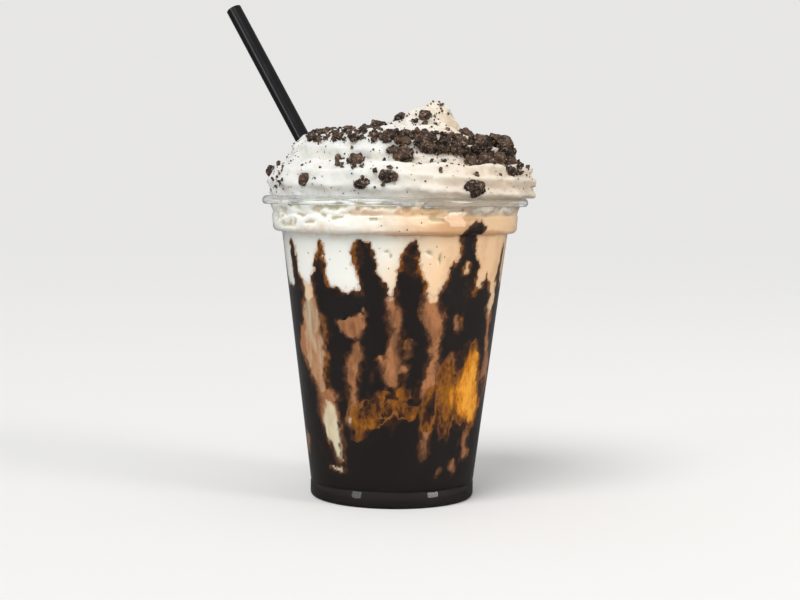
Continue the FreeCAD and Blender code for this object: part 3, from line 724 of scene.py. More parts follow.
def shake_finish(drink, cream):
    """Beige shake with paler, amber and brown marbling."""
    finish = Finish("milkshake")
    place = finish.place()
    streaks = finish.noise(finish.drawn(place, 0.25), 330.0, 4.0, 0.6, 0.6)
    clouds = finish.noise(finish.drawn(place, 0.6), 80.0, 4.0, 0.6, 0.6)
    grain = finish.noise(finish.drawn(place, 0.7), 720.0, 5.0, 0.65)
    colour = finish.mix(finish.band(clouds, 0.38, 0.64), colour4(drink.shake_colour),
                        shade(drink.shake_colour, 0.68))
    colour = finish.over(colour, streaks, 0.46, 0.68, colour4(drink.shake_brown), 0.6)
    colour = finish.over(colour, grain, 0.5, 0.68, colour4(drink.shake_brown), 0.35)
    patches = finish.noise(finish.drawn(place, 0.45), 210.0, 3.0, 0.55)
    mottle = finish.plus(finish.times(grain, 0.3), finish.times(patches, 0.7))
    shown = finish.plus(mottle, finish.band(finish.attribute("glow"), 0.0, 1.0, 0.05, -0.12))
    glow = finish.ramp(shown, (
        (0.33, colour4(drink.glow_colour)),
        (0.44, colour4(drink.amber_colour)),
        (0.53, shade(drink.amber_colour, 0.5)),
        (0.60, colour4(drink.sauce_thin)),
        (0.68, colour4(drink.sauce_brown)),
    ))
    russet = finish.frayed("russet", clouds, 0.5)
    dim = finish.ramp(mottle, (
        (0.38, shade(drink.amber_colour, 0.65)),
        (0.47, colour4(drink.sauce_thin)),
        (0.56, colour4(drink.sauce_brown)),
        (0.66, colour4(drink.sauce_colour)),
    ))
    colour = finish.over(colour, russet, 0.5, 1.1, dim)
    amber = finish.frayed("amber", clouds, 0.7)
    colour = finish.over(colour, amber, 0.45, 1.1, glow)
    pale = finish.frayed("pale", streaks, 0.9)
    colour = finish.over(colour, pale, 0.8, 1.45, colour4(cream.warm_cream_and_shade_colour), 0.9)
    ivory = finish.frayed("ivory", streaks, 0.8)
    colour = finish.over(colour, ivory, 0.75, 1.35, colour4(drink.ivory_colour))
    ragged = finish.plus(finish.times(grain, 1.5), finish.times(clouds, 0.9))
    cover = finish.times(finish.attribute("veil"), finish.band(russet, 0.5, 1.2, 1.0, 0.45))
    cover = finish.times(cover, finish.band(amber, 0.5, 1.2, 1.0, 0.5))
    veil = finish.plus(cover, finish.math("SUBTRACT", ragged, 1.2))
    colour = finish.over(colour, veil, 0.3, 1.1, colour4(drink.veil_colour), 0.95)
    return finish.surface(Base_Color=colour, Roughness=0.5, Specular_IOR_Level=WET_GLOSS)


def sauce_finish(drink):
    """Chocolate sauce: brown or amber where it is thin, and near black where it is thick."""
    finish = Finish("chocolate_sauce")
    place = finish.place()
    grain = finish.noise(place, 620.0, 5.0, 0.65)
    flow = finish.noise(finish.drawn(place, 0.3), 170.0, 4.0, 0.6, 0.4)
    uneven = finish.math("SUBTRACT", flow, 0.5)
    depth = finish.frayed("depth", finish.math("SUBTRACT", grain, 0.5), 1.0)
    depth = finish.plus(depth, finish.times(uneven, 0.7))
    dark = finish.ramp(depth, (
        (0.0, colour4(drink.veil_colour)),
        (0.35, colour4(drink.sauce_brown)),
        (0.7, colour4(drink.sauce_colour)),
    ))
    glow = finish.ramp(depth, (
        (0.0, colour4(drink.sauce_edge)),
        (0.16, colour4(drink.sauce_thin)),
        (0.42, colour4(drink.sauce_brown)),
        (0.75, colour4(drink.sauce_colour)),
    ))
    share = finish.frayed("thin", uneven, 1.0)
    colour = finish.mix(finish.band(share, 0.1, 0.7), dark, glow)
    return finish.surface(Base_Color=colour, Roughness=0.45, Specular_IOR_Level=WET_GLOSS)


def cookie_finish(cookies):
    """Dry, dark broken cookie with a rough, sugary grain."""
    finish = Finish("chocolate_cookie")
    place = finish.place()
    grain = finish.noise(place, 1100.0, 5.0, 0.7)
    lumps = finish.noise(place, 380.0, 3.0, 0.6)
    tone = finish.plus(lumps, finish.times(finish.attribute("tone"), 0.35))
    colour = finish.mix(finish.band(tone, 0.42, 0.85), colour4(cookies.colour), colour4(cookies.crumb_colour))
    colour = finish.over(colour, grain, 0.52, 0.64, colour4(cookies.sugar_colour), 0.9)
    height = finish.plus(grain, finish.times(lumps, 1.5))
    return finish.surface(
        Base_Color=colour, Roughness=0.72, Normal=finish.bump(height, 0.9, 0.5), Specular_IOR_Level=0.4)


def straw_finish(straw):
    """Smooth black plastic with faint drawing lines along the tube."""
    finish = Finish("black_plastic")
    place = finish.place()
    along = Vector(straw_axis(bpy.context.scene.milkshake_cup, straw)[1])
    turn = along.to_track_quat("Z", "Y").inverted().to_euler()
    own = finish.add("ShaderNodeMapping", {"Vector": place, "Rotation": turn}).outputs["Vector"]
    lines = finish.noise(finish.drawn(own, 0.02), 1500.0, 2.0)
    haze = finish.noise(place, 130.0, 3.0)
    return finish.surface(
        Base_Color=finish.mix(haze, colour4(straw.colour), shade(straw.colour, 1.6)),
        Roughness=finish.band(haze, 0.3, 0.8, *STRAW_ROUGHNESS), Normal=finish.bump(lines, 0.05, 0.03))


def stage_finish(stage):
    """Plain matt table top, paler to the camera and through the cup than to mirrors and bounced light."""
    finish = Finish("pale_table")
    cloud = finish.noise(finish.place(), 3.0, 3.0)
    pale = finish.mix(cloud, colour4(stage.floor_colour), shade(stage.floor_colour, 1.01))
    path = finish.add("ShaderNodeLightPath")
    seen = finish.math("MAXIMUM", path.outputs["Is Camera Ray"], path.outputs["Is Transmission Ray"])
    sent = finish.mix(path.outputs["Is Glossy Ray"], colour4(stage.bounce_colour),
                      shade(stage.bounce_colour, MIRRORED_SHARE))
    return finish.surface(Base_Color=finish.mix(seen, sent, pale), Roughness=1.0, Specular_IOR_Level=0.0)


# --- Outlines of the cup in (radius, height) -------------------------------------------------------------

def sheet_corners(cup):
    """Corners (radius, height, rounding) of the sheet's outside, from the rim down and in to the axis."""
    top, rim = cup.height / MM, cup.rim_radius / MM
    foot = cup.foot_radius / MM
    neck = rim - 2.0 * ROLL_OUTER + cup.wall / MM
    ledge = neck - NECK_TAPER
    band_foot = ledge + LEDGE_STEP - BAND_TAPER
    return [
        (neck, top - ROLL_OUTER, 0.0),
        (neck, top - 2.6, NECK_ROUNDING),
        (ledge, top - LEDGE_DEPTH + LEDGE_STEP, 0.0),
        (ledge + LEDGE_STEP, top - LEDGE_DEPTH, 0.0),
        (band_foot, top - BAND_DEPTH, BAND_ROUNDING),
        (band_foot - BAND_STEP, top - BAND_DEPTH, STEP_ROUNDING),
        (foot, GROOVE_HEIGHT + GROOVE_HALF, 0.0),
        (foot - GROOVE_DEPTH, GROOVE_HEIGHT, 0.0),
        (foot, GROOVE_HEIGHT - GROOVE_HALF, 0.0),
        (foot, 0.0, FOOT_ROUNDING),
        (foot - FOOT_WIDTH, 0.0, FLOOR_ROUNDING),
        (foot - FOOT_WIDTH, FLOOR_RISE, FLOOR_ROUNDING),
        (0.0, FLOOR_RISE, 0.0),
    ]


def rounded(corners):
    """Points along an outline of corners, with an arc in place of each rounded one."""
    points = [np.array(corners[0][:2])]
    for before, corner, after in zip(corners, corners[1:], corners[2:]):
        here = np.array(corner[:2])
        back = np.array(before[:2]) - here
        ahead = np.array(after[:2]) - here
        back, ahead = back / np.linalg.norm(back), ahead / np.linalg.norm(ahead)
        half = math.acos(np.clip(back @ ahead, -1.0, 1.0)) / 2.0
        if corner[2] <= 0.0 or half > math.radians(89.9):
            points.append(here)
            continue
        middle = back + ahead
        centre = here + middle / np.linalg.norm(middle) * corner[2] / math.sin(half)
        start = here + back * corner[2] / math.tan(half) - centre
        end = here + ahead * corner[2] / math.tan(half) - centre
        first, last = math.atan2(start[1], start[0]), math.atan2(end[1], end[0])
        sweep = (last - first + math.pi) % (2.0 * math.pi) - math.pi
        for step in range(ARC_STEPS + 1):
            angle = first + sweep * step / ARC_STEPS
            points.append(centre + corner[2] * np.array([math.cos(angle), math.sin(angle)]))
    points.append(np.array(corners[-1][:2]))
    return np.array(points)


def pushed(outline, distance):
    """An outline moved sideways, to its right as it runs; its ends stay level."""
    steps = np.diff(outline, axis=0)
    steps /= np.linalg.norm(steps, axis=1)[:, None]
    right = np.stack([steps[:, 1], -steps[:, 0]], axis=1)
    arriving = np.vstack([right[:1], right])
    leaving = np.vstack([right, right[-1:]])
    scale = distance / np.maximum(1.0 + np.sum(arriving * leaving, axis=1), 0.35)
    return outline + (arriving + leaving) * scale[:, None]


def inside_outline(cup):
    """The sheet's inside from the axis on the floor, out and up to the start of the rim's roll."""
    inside = pushed(rounded(sheet_corners(cup)), cup.wall / MM)[::-1].copy()
    inside[0, 0] = 0.0
    return inside


def wall_radius(inside, height):
    """The radius at a height of an inside outline, on the wall above its lowest place."""
    lowest = len(inside) - 1 - int(np.argmin(inside[::-1, 1]))
    return np.interp(height, inside[lowest:, 1], inside[lowest:, 0])


def roll_arc(cup, radius):
    """The rolled rim's arc of a radius, from the neck over the top to its free edge."""
    middle = np.array([cup.rim_radius / MM - ROLL_OUTER - 0.01, cup.height / MM - ROLL_OUTER])
    angles = np.radians(np.linspace(180.0, ROLL_END, 26))
    return middle + radius * np.stack([np.cos(angles), np.sin(angles)], axis=1)


def turned(outline, around):
    """Points and faces of an outline turned round the cup's axis, whose ends may lie on the axis."""
    bearings = np.arange(around) * 2.0 * math.pi / around
    points, faces, rings = [], [], []
    for radius, height in outline:
        if radius < 1e-6:
            rings.append([len(points)] * around)
            points.append((0.0, 0.0, height))
            continue
        rings.append(list(range(len(points), len(points) + around)))
        points += [(radius * math.sin(b), -radius * math.cos(b), height) for b in bearings]
    for low, high in zip(rings, rings[1:]):
        for column in range(around):
            after = (column + 1) % around
            corners = [low[column], low[after], high[after], high[column]]
            faces.append(tuple(dict.fromkeys(corners)))
    return np.array(points), faces


# --- Fields on the cup's wall ----------------------------------------------------------------------------

def apart(bearing, centre):
    """Degrees between bearings, at most half a turn."""
    return np.abs((bearing - centre + 180.0) % 360.0 - 180.0)


def depth_in_run(bearing, height, run):
    """Millimetres that points lie inside a run of (height, bearing, half width) rows, negative outside."""
    heights, centres, halves = (np.array(column, float) for column in zip(*run))
    foot_radius, slope, foot, span = WALL_MEAN
    degree = math.pi / 180.0 * (foot_radius + slope * np.clip(height - foot, 0.0, span))
    centre, half = np.interp(height, heights, centres), np.interp(height, heights, halves)
    depth = (half - apart(bearing, centre)) * degree
    beyond = np.maximum(np.maximum(heights[0] - height, height - heights[-1]), 0.0)
    return np.where(beyond > 0.0, np.minimum(depth, END_DEPTH) - END_SLOPE * beyond, depth)


def deepest(bearing, height, runs):
    """The greatest depth over several runs."""
    depth = np.full(len(bearing), -50.0)
    for run in runs:
        depth = np.maximum(depth, depth_in_run(bearing, height, run))
    return depth


def back_runs(drink):
    """Runs of sauce and windows on the side away from the front, from the drink's seed."""
    chance = random.Random(drink.seed)
    runs, windows = [], []
    for number in range(BACK_RUNS):
        bearing = 98.0 + 164.0 * (number + chance.uniform(0.2, 0.8)) / BACK_RUNS
        top, half = chance.uniform(84.0, 97.0), chance.uniform(3.6, 7.0)
        sway = chance.uniform(-3.0, 3.0)
        runs.append((
            (38.0, bearing + sway, half), (58.0, bearing - sway, half * 1.3), (74.0, bearing, half),
            (80.0, bearing + sway / 2.0, half * chance.uniform(1.0, 1.6)), (top - 5.0, bearing, half * 0.7),
            (top, bearing - sway / 2.0, 0.6)))
    for number in range(BACK_WINDOWS):
        bearing = 90.0 + 180.0 * (number + chance.uniform(0.0, 1.0)) / BACK_WINDOWS
        low = chance.uniform(20.0, 64.0)
        tall, half = chance.uniform(8.0, 24.0), chance.uniform(1.6, 6.0)
        sway = chance.uniform(-4.0, 4.0)
        windows.append((
            (low, bearing, 0.8), (low + tall * 0.35, bearing + sway, half),
            (low + tall * 0.7, bearing + sway / 2.0, half * 0.8), (low + tall, bearing - sway, 0.6)))
    return tuple(runs), tuple(windows)


def wall_fields(bearing, height, drink):
    """How the drink lies on the wall at each bearing and height.

    sauce and cream are the depths in millimetres inside the areas that each covers; the others are shares.
    """
    angle = np.radians(bearing)
    around = np.stack([40.0 * np.sin(angle), -40.0 * np.cos(angle), height], axis=1)
    drawn_out = around * (1.0, 1.0, 0.5)
    lift = rough(around, LIFT_NOISE)
    moved, raised = bearing + rough(around, SHIFT_NOISE), height + lift

    def share(places, low, high):
        """How far each point lies in some places, as a soft step between two depths in millimetres."""
        return smooth(deepest(moved, raised, places), low, high)

    extra_runs, extra_windows = back_runs(drink)
    runs, windows = SAUCE_RUNS + extra_runs, WINDOWS + extra_windows
    settled = SETTLED_TOP - raised + rough(around, LEVEL_NOISE)
    sauce = np.maximum(settled, deepest(moved, raised, runs))
    sauce = np.minimum(sauce, -deepest(moved, raised, windows))
    low_down = smooth(height, *LOW_DOWN)
    amber = share(AMBER_PLACES, -3.0, 2.0)
    ragged = (0.35 + 0.65 * low_down) * layered_noise(drawn_out, 2.4, 47)
    ragged += (0.5 - 0.25 * low_down) * layered_noise(around, 1.2, 49, 2)
    sauce += (1.0 - 0.6 * amber) * ragged + 1.7 * amber * layered_noise(drawn_out, 6.0, 57)
    sauce = np.maximum(sauce, np.minimum(ALWAYS_SAUCE[0] - height, ALWAYS_SAUCE[1]))
    bearings, line = zip(*CREAM_LINE)
    cream = CREAM_SLOPE * (raised - np.interp((moved + 180.0) % 360.0 - 180.0, bearings, line))
    patches = layered_noise(drawn_out, 5.0, 43)
    thin = np.maximum(share(THIN_PLACES, -1.4, 1.0), smooth(patches, 0.25, 1.0))
    pale = share(PALE_PLACES, -2.5, 1.5)
    ivory = np.maximum(0.86 * share(IVORY_PLACES, -2.5, 2.0),
                       FAINTNESS * share(FAINT_PLACES, -2.0, 1.5))
    # Share of each hollow, which sinks the cream back from the wall and tints it with painted shade.
    hollow_and_shade = np.zeros(len(bearing))
    for centre, middle, wide, tall in HOLLOWS:
        out = np.hypot(apart(moved, centre) / wide, (raised - middle) / tall)
        hollow_and_shade = np.maximum(hollow_and_shade, smooth(out, 1.2, 0.7))
    stain = 0.6 * share(STAINS, -5.0, 4.0)
    for centre, middle, wide, tall in STREAKS:
        out = np.hypot(apart(moved, centre) / wide, (height - middle + 0.35 * lift) / tall)
        stain = np.maximum(stain, smooth(out, 1.5, 0.5))
    # Patchy painted shade along the foot of the band, where the cream is also sunk back a little.
    patchy = layered_noise(around * (1.0, 1.0, 2.2), 6.0, 53)
    hollow_and_shade = np.maximum(hollow_and_shade, smooth(patchy, 0.62, 0.8) * smooth(height, 97.5, 99.0))
    return {
        "sauce": sauce,
        "cream": cream,
        "depth": smooth(sauce, -0.3, 2.6) * (1.0 - 0.42 * np.maximum(thin, amber)),
        "thin": thin,
        "hollow_and_shade": hollow_and_shade * smooth(sauce, 0.3, -0.5),
        "veil": smooth(sauce, -2.6, 0.3),
        "stain": stain,
        "pale": np.maximum(pale, smooth(cream, -4.0, 0.5)),
        "ivory": ivory,
        "russet": share(RUSSET_PLACES, -3.0, 1.0),
        "amber": amber,
        "glow": share(GLOW_PLACES, -6.0, 4.0),
        # Painted warm shade, more to the right and a little more on the band.
        "warm_shade": 1.2 * warm_shade(around) + 0.12 * smooth(height, 96.5, 99.0),
    }


def warm_shade(points):
    """Share of painted warm shade on the cream: more to the right, away from the key light."""
    return smooth(points[:, 0] + 6.0 * layered_noise(points, 16.0, 61), -26.0, 44.0)


class Skin:
    """A grid on the inside of the cup's wall between two heights, for what lies on it."""

    def __init__(self, cup, drink, low, high):
        inside = resampled(inside_outline(cup), SKIN_STEP)
        keep = (inside[:, 1] >= low) & (inside[:, 1] <= high)
        self.outline = inside[keep]
        normal = pushed(self.outline, 1.0) - self.outline
        self.out = normal / np.linalg.norm(normal, axis=1)[:, None]
        bearings = np.arange(SKIN_AROUND) * 360.0 / SKIN_AROUND
        bearing, row = np.meshgrid(bearings, np.arange(len(self.outline)))
        self.bearing, self.row = bearing.ravel(), row.ravel()
        self.height = self.outline[self.row, 1]
        self.fields = wall_fields(self.bearing, self.height, drink)

    def points(self, reach):
        """The grid's points, each moved out into the wall by its reach."""
        flat = self.outline[self.row] + self.out[self.row] * np.asarray(reach)[..., None]
        angle = np.radians(self.bearing)
        return np.stack([flat[:, 0] * np.sin(angle), -flat[:, 0] * np.cos(angle), flat[:, 1]], axis=1)

    def quads(self):
        """Corner numbers of the grid's faces, facing out."""
        rows = len(self.outline)
        column, row = np.meshgrid(np.arange(SKIN_AROUND), np.arange(rows - 1))
        after = (column + 1) % SKIN_AROUND
        start = row * SKIN_AROUND
        return np.stack([start + column, start + after, start + after + SKIN_AROUND,
                         start + column + SKIN_AROUND], axis=-1).reshape(-1, 4)


def resampled(outline, step):
    """An outline with points at most a step apart, keeping its corners."""
    points = [outline[0]]
    for start, end in zip(outline, outline[1:]):
        count = max(int(math.ceil(np.linalg.norm(end - start) / step)), 1)
        points += [start + (end - start) * (number + 1) / count for number in range(count)]
    return np.array(points)


def film(skin, depth, reach, back):
    """Points, faces and source rows of a closed film that covers a skin where depth is positive.

    Its face reaches into the wall, and dips where it ends; its back lies deeper inside the cup.
    """
    quads = skin.quads()
    quads = quads[(depth[quads] > -FILM_EDGE).any(axis=1)]
    used = np.unique(quads)
    number = np.full(len(depth), -1)
    number[used] = np.arange(len(used))
    quads = number[quads]
    face = skin.points(reach - SKIN_SINK * smooth(depth, 0.0, -FILM_EDGE))[used]
    behind = skin.points(np.full(len(depth), -back))[used]
    sides = np.concatenate([quads[:, [0, 1]], quads[:, [1, 2]], quads[:, [2, 3]], quads[:, [3, 0]]])
    _, inverse, counts = np.unique(np.sort(sides, axis=1), axis=0, return_inverse=True, return_counts=True)
    border = sides[counts[inverse.ravel()] == 1]
    size = len(used)
    walls = np.stack([border[:, 1], border[:, 0], border[:, 0] + size, border[:, 1] + size], axis=1)
    faces = np.concatenate([quads, quads[:, ::-1] + size, walls]).tolist()
    return np.concatenate([face, behind]), faces, np.concatenate([used, used])


def plug(cup, low, high, reach):
    """Points and faces of a solid that fills the cup between two heights, up to a reach from its wall."""
    inside = pushed(resampled(inside_outline(cup), PLUG_STEP), reach)
    between = (inside[:, 1] > low + 0.1) & (inside[:, 1] < high - 0.1) & (inside[:, 0] > 1.0)
    outline = [(0.0, max(low, inside[0, 1]))]
    if low > inside[0, 1]:
        outline.append((wall_radius(inside, low), low))
    outline += [tuple(place) for place in inside[between]]
    outline += [(wall_radius(inside, high), high), (0.0, high)]
    return turned(outline, PLUG_AROUND)


# --- Swirl -----------------------------------------------------------------------------------------------

def waves(table, turn):
    """The rope's unevenness after so many turns."""
    gone_round = 2.0 * math.pi * turn
    return sum(amount * np.sin(rate * gone_round + phase) for amount, rate, phase in table)


def cusps(phase, sharpness):
    """A wave from -1 to 1 with narrow tops, at each phase."""
    return 1.0 - 2.0 * np.abs(np.sin(phase / 2.0)) ** sharpness


def curve_through(table, column, turn):
    """A smooth curve through one column of the rope's stations."""
    places = np.array([row[0] for row in table])
    values = np.array([row[column] for row in table])
    index = np.clip(np.searchsorted(places, turn, side="left") - 1, 0, len(table) - 2)
    share = (turn - places[index]) / (places[index + 1] - places[index])
    p0, p1 = values[np.maximum(index - 1, 0)], values[index]
    p2, p3 = values[index + 1], values[np.minimum(index + 2, len(table) - 1)]
    curve, bend = 2 * p0 - 5 * p1 + 4 * p2 - p3, 3 * p1 - 3 * p2 + p3 - p0
    return 0.5 * (2 * p1 + (p2 - p0) * share + curve * share ** 2 + bend * share ** 3)


def lean_at(height):
    """How far the swirl is shifted to the right at a height above the rim."""
    top = MOUND_STATIONS[-1][0]
    share = np.maximum(height - SWIRL_LEAN_START, 0.0) / (top - SWIRL_LEAN_START)
    return SWIRL_SHIFT + SWIRL_LEAN * share ** SWIRL_LEAN_POWER


def swirl_points(angle, radius, height, cup):
    """Points in space of points of the upright swirl."""
    return np.stack([lean_at(height) + radius * np.cos(angle), radius * np.sin(angle),
                     cup.height / MM + height], axis=-1)


def tube(rings):
    """Points and faces of a tube through rings of points, closed at both ends."""
    count, around = rings.shape[:2]
    points = rings.reshape(-1, 3)
    faces = []
    for row in range(count - 1):
        for column in range(around):
            after = (column + 1) % around
            faces.append((row * around + column, row * around + after, (row + 1) * around + after,
                          (row + 1) * around + column))
    faces.append(tuple(range(around))[::-1])
    faces.append(tuple(range((count - 1) * around, count * around)))
    return points, faces


def rope_part(cup, cream):
    """The piped rope with the ridges that the star nozzle leaves."""
    swirl_radius = cup.rim_radius / MM - SWIRL_INSET
    turn = np.linspace(0.0, ROPE_STATIONS[-1][0], ROPE_STEPS)[:, None]
    radius = swirl_radius * curve_through(ROPE_STATIONS, 1, turn) + waves(RADIUS_WAVES, turn)
    height = curve_through(ROPE_STATIONS, 2, turn) + waves(HEIGHT_WAVES, turn)
    half = np.maximum(curve_through(ROPE_STATIONS, 3, turn) + waves(HALF_WAVES, turn), LEAST_HALF)
    around = (np.arange(SECTION_POINTS) * 2.0 * math.pi / SECTION_POINTS)[None, :]
    phase = RIDGE_COUNT * around + 2.0 * math.pi * RIDGE_TWIST * turn
    cusp = cusps(phase, 1.3)
    angle = 2.0 * math.pi * turn
    to_right = smooth(np.cos(angle), -0.4, 0.9)
    ridge = cream.ridge_depth / MM * (0.55 + 0.75 * to_right) * cusp
    fold = cusps(2.0 * (math.pi * FOLDS * turn + FOLD_SLANT * around), 1.2)
    out = half + ridge + FOLD_DEPTH * fold
    section_radius = radius + out * np.cos(around)
    section_height = height + out * np.sin(around)
    rings = swirl_points(angle + 0.0 * around, section_radius, section_height, cup)
    return tube(rings[:, ::-1])


def mound_part(cup):
    """The mound inside the rope, which ends in the folded peak."""
    swirl_radius = cup.rim_radius / MM - SWIRL_INSET
    heights, shares = (np.array(column) for column in zip(*MOUND_STATIONS))
    height = np.linspace(heights[0], heights[-1], 90)[:, None]
    angle = (np.arange(SECTION_POINTS) * 2.0 * math.pi / SECTION_POINTS)[None, :]
    radius = swirl_radius * np.interp(height, heights, shares)
    above = np.maximum(height - PEAK_LOBE_START, 0.0)
    depth = PEAK_LOBE_DEPTH * np.minimum(above / PEAK_LOBE_RISE, 1.0)
    depth = depth * np.minimum(radius / PEAK_LOBE_RADIUS, 1.0)
    lobes = cusps(PEAK_LOBES * (angle + PEAK_TWIST * above), 1.2)
    radius = radius + depth * lobes
    return tube(swirl_points(angle + 0.0 * height, radius, height + 0.0 * angle, cup))


def make_swirl(cup, cream):
    """The cream over the rim: rope and mound fused, with soft lumps, resting on the rim."""
    piece = joined("swirl", [rope_part(cup, cream), mound_part(cup)])
    remeshed(piece, cream.grain / MM)
    mesh = piece.data
    points = relaxed(mesh, coordinates(mesh), 1)
    move_points(mesh, points)
    out = normals(mesh)
    tears = np.maximum(layered_noise(points, TEAR_SIZE, 83), TEAR_LEVEL) - TEAR_LEVEL
    points = points + out * (rough(points, SWIRL_LUMPS) - TEAR_DEPTH * tears)[:, None]
    inner = cup.rim_radius / MM - 2.0 * ROLL_OUTER - 0.05
    over_rim = np.hypot(points[:, 0], points[:, 1]) > inner
    points[over_rim, 2] = np.maximum(points[over_rim, 2], cup.height / MM + RIM_CLEARANCE)
    move_points(mesh, inside_box(points))
    return applied(piece, "DECIMATE", ratio=cream.share_kept)


# --- Pieces ----------------------------------------------------------------------------------------------

def make_cup(cup):
    """The whole cup as one closed sheet with a hollow rolled rim."""
    inside = np.concatenate([inside_outline(cup)[:-1], roll_arc(cup, ROLL_OUTER)])
    outside = rounded(sheet_corners(cup))[1:][::-1]
    outside = np.concatenate([outside, roll_arc(cup, ROLL_OUTER - cup.wall / MM)])
    outline = np.concatenate([outside, inside[::-1]])
    outline[0, 0] = outline[-1, 0] = 0.0
    points, faces = turned(outline, CUP_AROUND)
    piece = add_mesh("clear_cup", points, faces)
    finish_piece(piece, clear_plastic(cup), ["cup"])


def make_sauce(cup, drink):
    """The settled sauce, and the film of it that ran down the wall."""
    skin = Skin(cup, drink, SAUCE_SKIN[0], cup.height / MM - SAUCE_SKIN[1])
    film_points, film_faces, source = film(skin, skin.fields["sauce"], SAUCE_LIFT, SKIN_BACK)
    foot = plug(cup, 0.0, FOOT_SAUCE, SAUCE_LIFT - FOOT_INSET)
    middle = plug(cup, FOOT_SAUCE - 1.0, SAUCE_LEVEL, -PLUG_INSET)
    piece = joined("sauce_in_cup", [(film_points, film_faces), foot, middle])
    rest = len(foot[0]) + len(middle[0])
    set_attribute(piece, "depth", np.append(skin.fields["depth"][source], np.ones(rest)))
    set_attribute(piece, "thin", np.append(skin.fields["thin"][source], np.zeros(rest)))
    mark_sharp(piece, CRISP)
    finish_piece(piece, sauce_finish(drink), ["chocolate_sauce"])


def make_shake(cup, drink, cream):
    """The shake between the settled sauce and the cream, and where it shows through the sauce."""
    skin = Skin(cup, drink, SHAKE_SKIN_LOW, SHAKE_LEVEL + LAP)
    present = np.minimum(SHAKE_COVER - skin.fields["sauce"], SHAKE_COVER - skin.fields["cream"])
    points, faces, source = film(skin, present, SHAKE_LIFT, SKIN_BACK)
    middle = plug(cup, SAUCE_LEVEL, SHAKE_LEVEL, -PLUG_INSET)
    piece = joined("shake_in_cup", [(points, faces), middle])
    for name in ("veil", "pale", "russet", "amber", "glow", "ivory"):
        set_attribute(piece, name, np.append(skin.fields[name][source], np.zeros(len(middle[0]))))
    mark_sharp(piece, CRISP)
    finish_piece(piece, shake_finish(drink, cream), ["milkshake"])


def make_cream(cup, drink, cream):
    """The piped swirl, and the cream in the neck with the tongues that reach down the wall."""
    swirl = make_swirl(cup, cream)
    over_rim = coordinates(swirl.data)
    # Painted shade in the creases of the swirl, deeper where the surface lies further in than its smoothed
    # self.
    towards_mean = relaxed(swirl.data, over_rim, CREASE_ROUNDS) - over_rim
    crease_shade = CREASE_SHADE * smooth(np.sum(towards_mean * normals(swirl.data), axis=1), 0.0, CREASE_DEPTH)
    swirl_faces = corners_of(swirl.data)
    bpy.data.objects.remove(swirl)
    skin = Skin(cup, drink, CREAM_SKIN[0], cup.height / MM - CREAM_SKIN[1])
    present = np.maximum(skin.fields["cream"], np.minimum(skin.height - SHAKE_LEVEL, 5.0))
    # The hollows sink the cream back from the wall, and the same share tints them with painted shade.
    hollow_and_shade = skin.fields["hollow_and_shade"]
    gap = layered_noise(skin.points(np.zeros(len(hollow_and_shade))), 3.0, 91)
    points, faces, source = film(skin, present, CREAM_LIFT - hollow_and_shade * (1.1 + 0.4 * gap), NECK_BACK)
    middle = plug(cup, SHAKE_LEVEL, cup.height / MM - 0.9, 1.0 - NECK_BACK)
    piece = joined("piped_cream", [(over_rim, swirl_faces), (points, faces), middle])
    # Marks the cream on the wall for its painted shade.
    skin.fields["pressed"] = np.ones(len(hollow_and_shade))
    clean = np.zeros(len(over_rim))
    inside = np.zeros(len(middle[0]))
    on_swirl = {"hollow_and_shade": crease_shade, "veil": clean, "stain": clean, "pressed": clean}
    on_swirl["warm_shade"] = warm_shade(over_rim)
    for name, values in on_swirl.items():
        set_attribute(piece, name, np.concatenate([values, skin.fields[name][source], inside]))
    finish_piece(piece, whipped_cream_finish(cream), ["whipped_cream"])


def make_cookies(cookies):
    """Each broken piece of cookie, with a rough, crumbling surface."""
    material = cookie_finish(cookies)
    for number, node in enumerate(COOKIE_NODES):
        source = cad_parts[node].data
        piece = add_mesh(f"cookie_piece_{number + 1:02d}", coordinates(source), corners_of(source))
        remeshed(piece, cookies.grain / MM)
        points = coordinates(piece.data)
        out = normals(piece.data)
        size = np.ptp(points, axis=0).mean()
        lumps = COOKIE_LUMPS[0] * layered_noise(points + 31.0 * number, COOKIE_LUMPS[1], 101, 3)
        pits = COOKIE_PITS[0] * np.abs(layered_noise(points + 57.0 * number, COOKIE_PITS[1], 107, 2))
        points = points + out * (lumps - pits + COOKIE_SWELL)[:, None] * min(size / COOKIE_SIZE, 1.2)
        move_points(piece.data, inside_box(points))
        set_attribute(piece, "tone", smooth(layered_noise(points, 3.2, 113, 2), -0.4, 1.0))
        finish_piece(piece, material, [node])


def finer_ball(points, faces):
    """A ball of triangles with each of them cut in four."""
    points, finer, middles = list(points), [], {}

    def halfway(first, second):
        """The corner halfway between two others, on the ball."""
        key = (min(first, second), max(first, second))
        if key not in middles:
            middle = points[first] + points[second]
            middles[key] = len(points)
            points.append(middle / np.linalg.norm(middle))
        return middles[key]

    for a, b, c in faces:
        ab, bc, ca = halfway(a, b), halfway(b, c), halfway(c, a)
        finer += [(a, ab, ca), (ab, b, bc), (ca, bc, c), (ab, bc, ca)]
    return np.array(points), finer


def crumb_blanks():
    """Balls of 12, 42 and 162 corners to shape crumbs from."""
    golden = (1.0 + math.sqrt(5.0)) / 2.0
    corners = []
    for first in (-1.0, 1.0):
        for second in (-golden, golden):
            corners += [(0.0, first, second), (first, second, 0.0), (second, 0.0, first)]
    corners = np.array(corners)
    near = np.linalg.norm(corners[:, None] - corners[None], axis=2) < 2.1
    faces = []
    for a in range(12):
        for b in range(a + 1, 12):
            for c in range(b + 1, 12):
                if near[a, b] and near[b, c] and near[a, c]:
                    inward = np.cross(corners[b] - corners[a], corners[c] - corners[a]) @ corners[a] < 0.0
                    faces.append((a, c, b) if inward else (a, b, c))
    small = (corners / np.linalg.norm(corners[0]), faces)
    medium = finer_ball(*small)
    return small, medium, finer_ball(*medium)


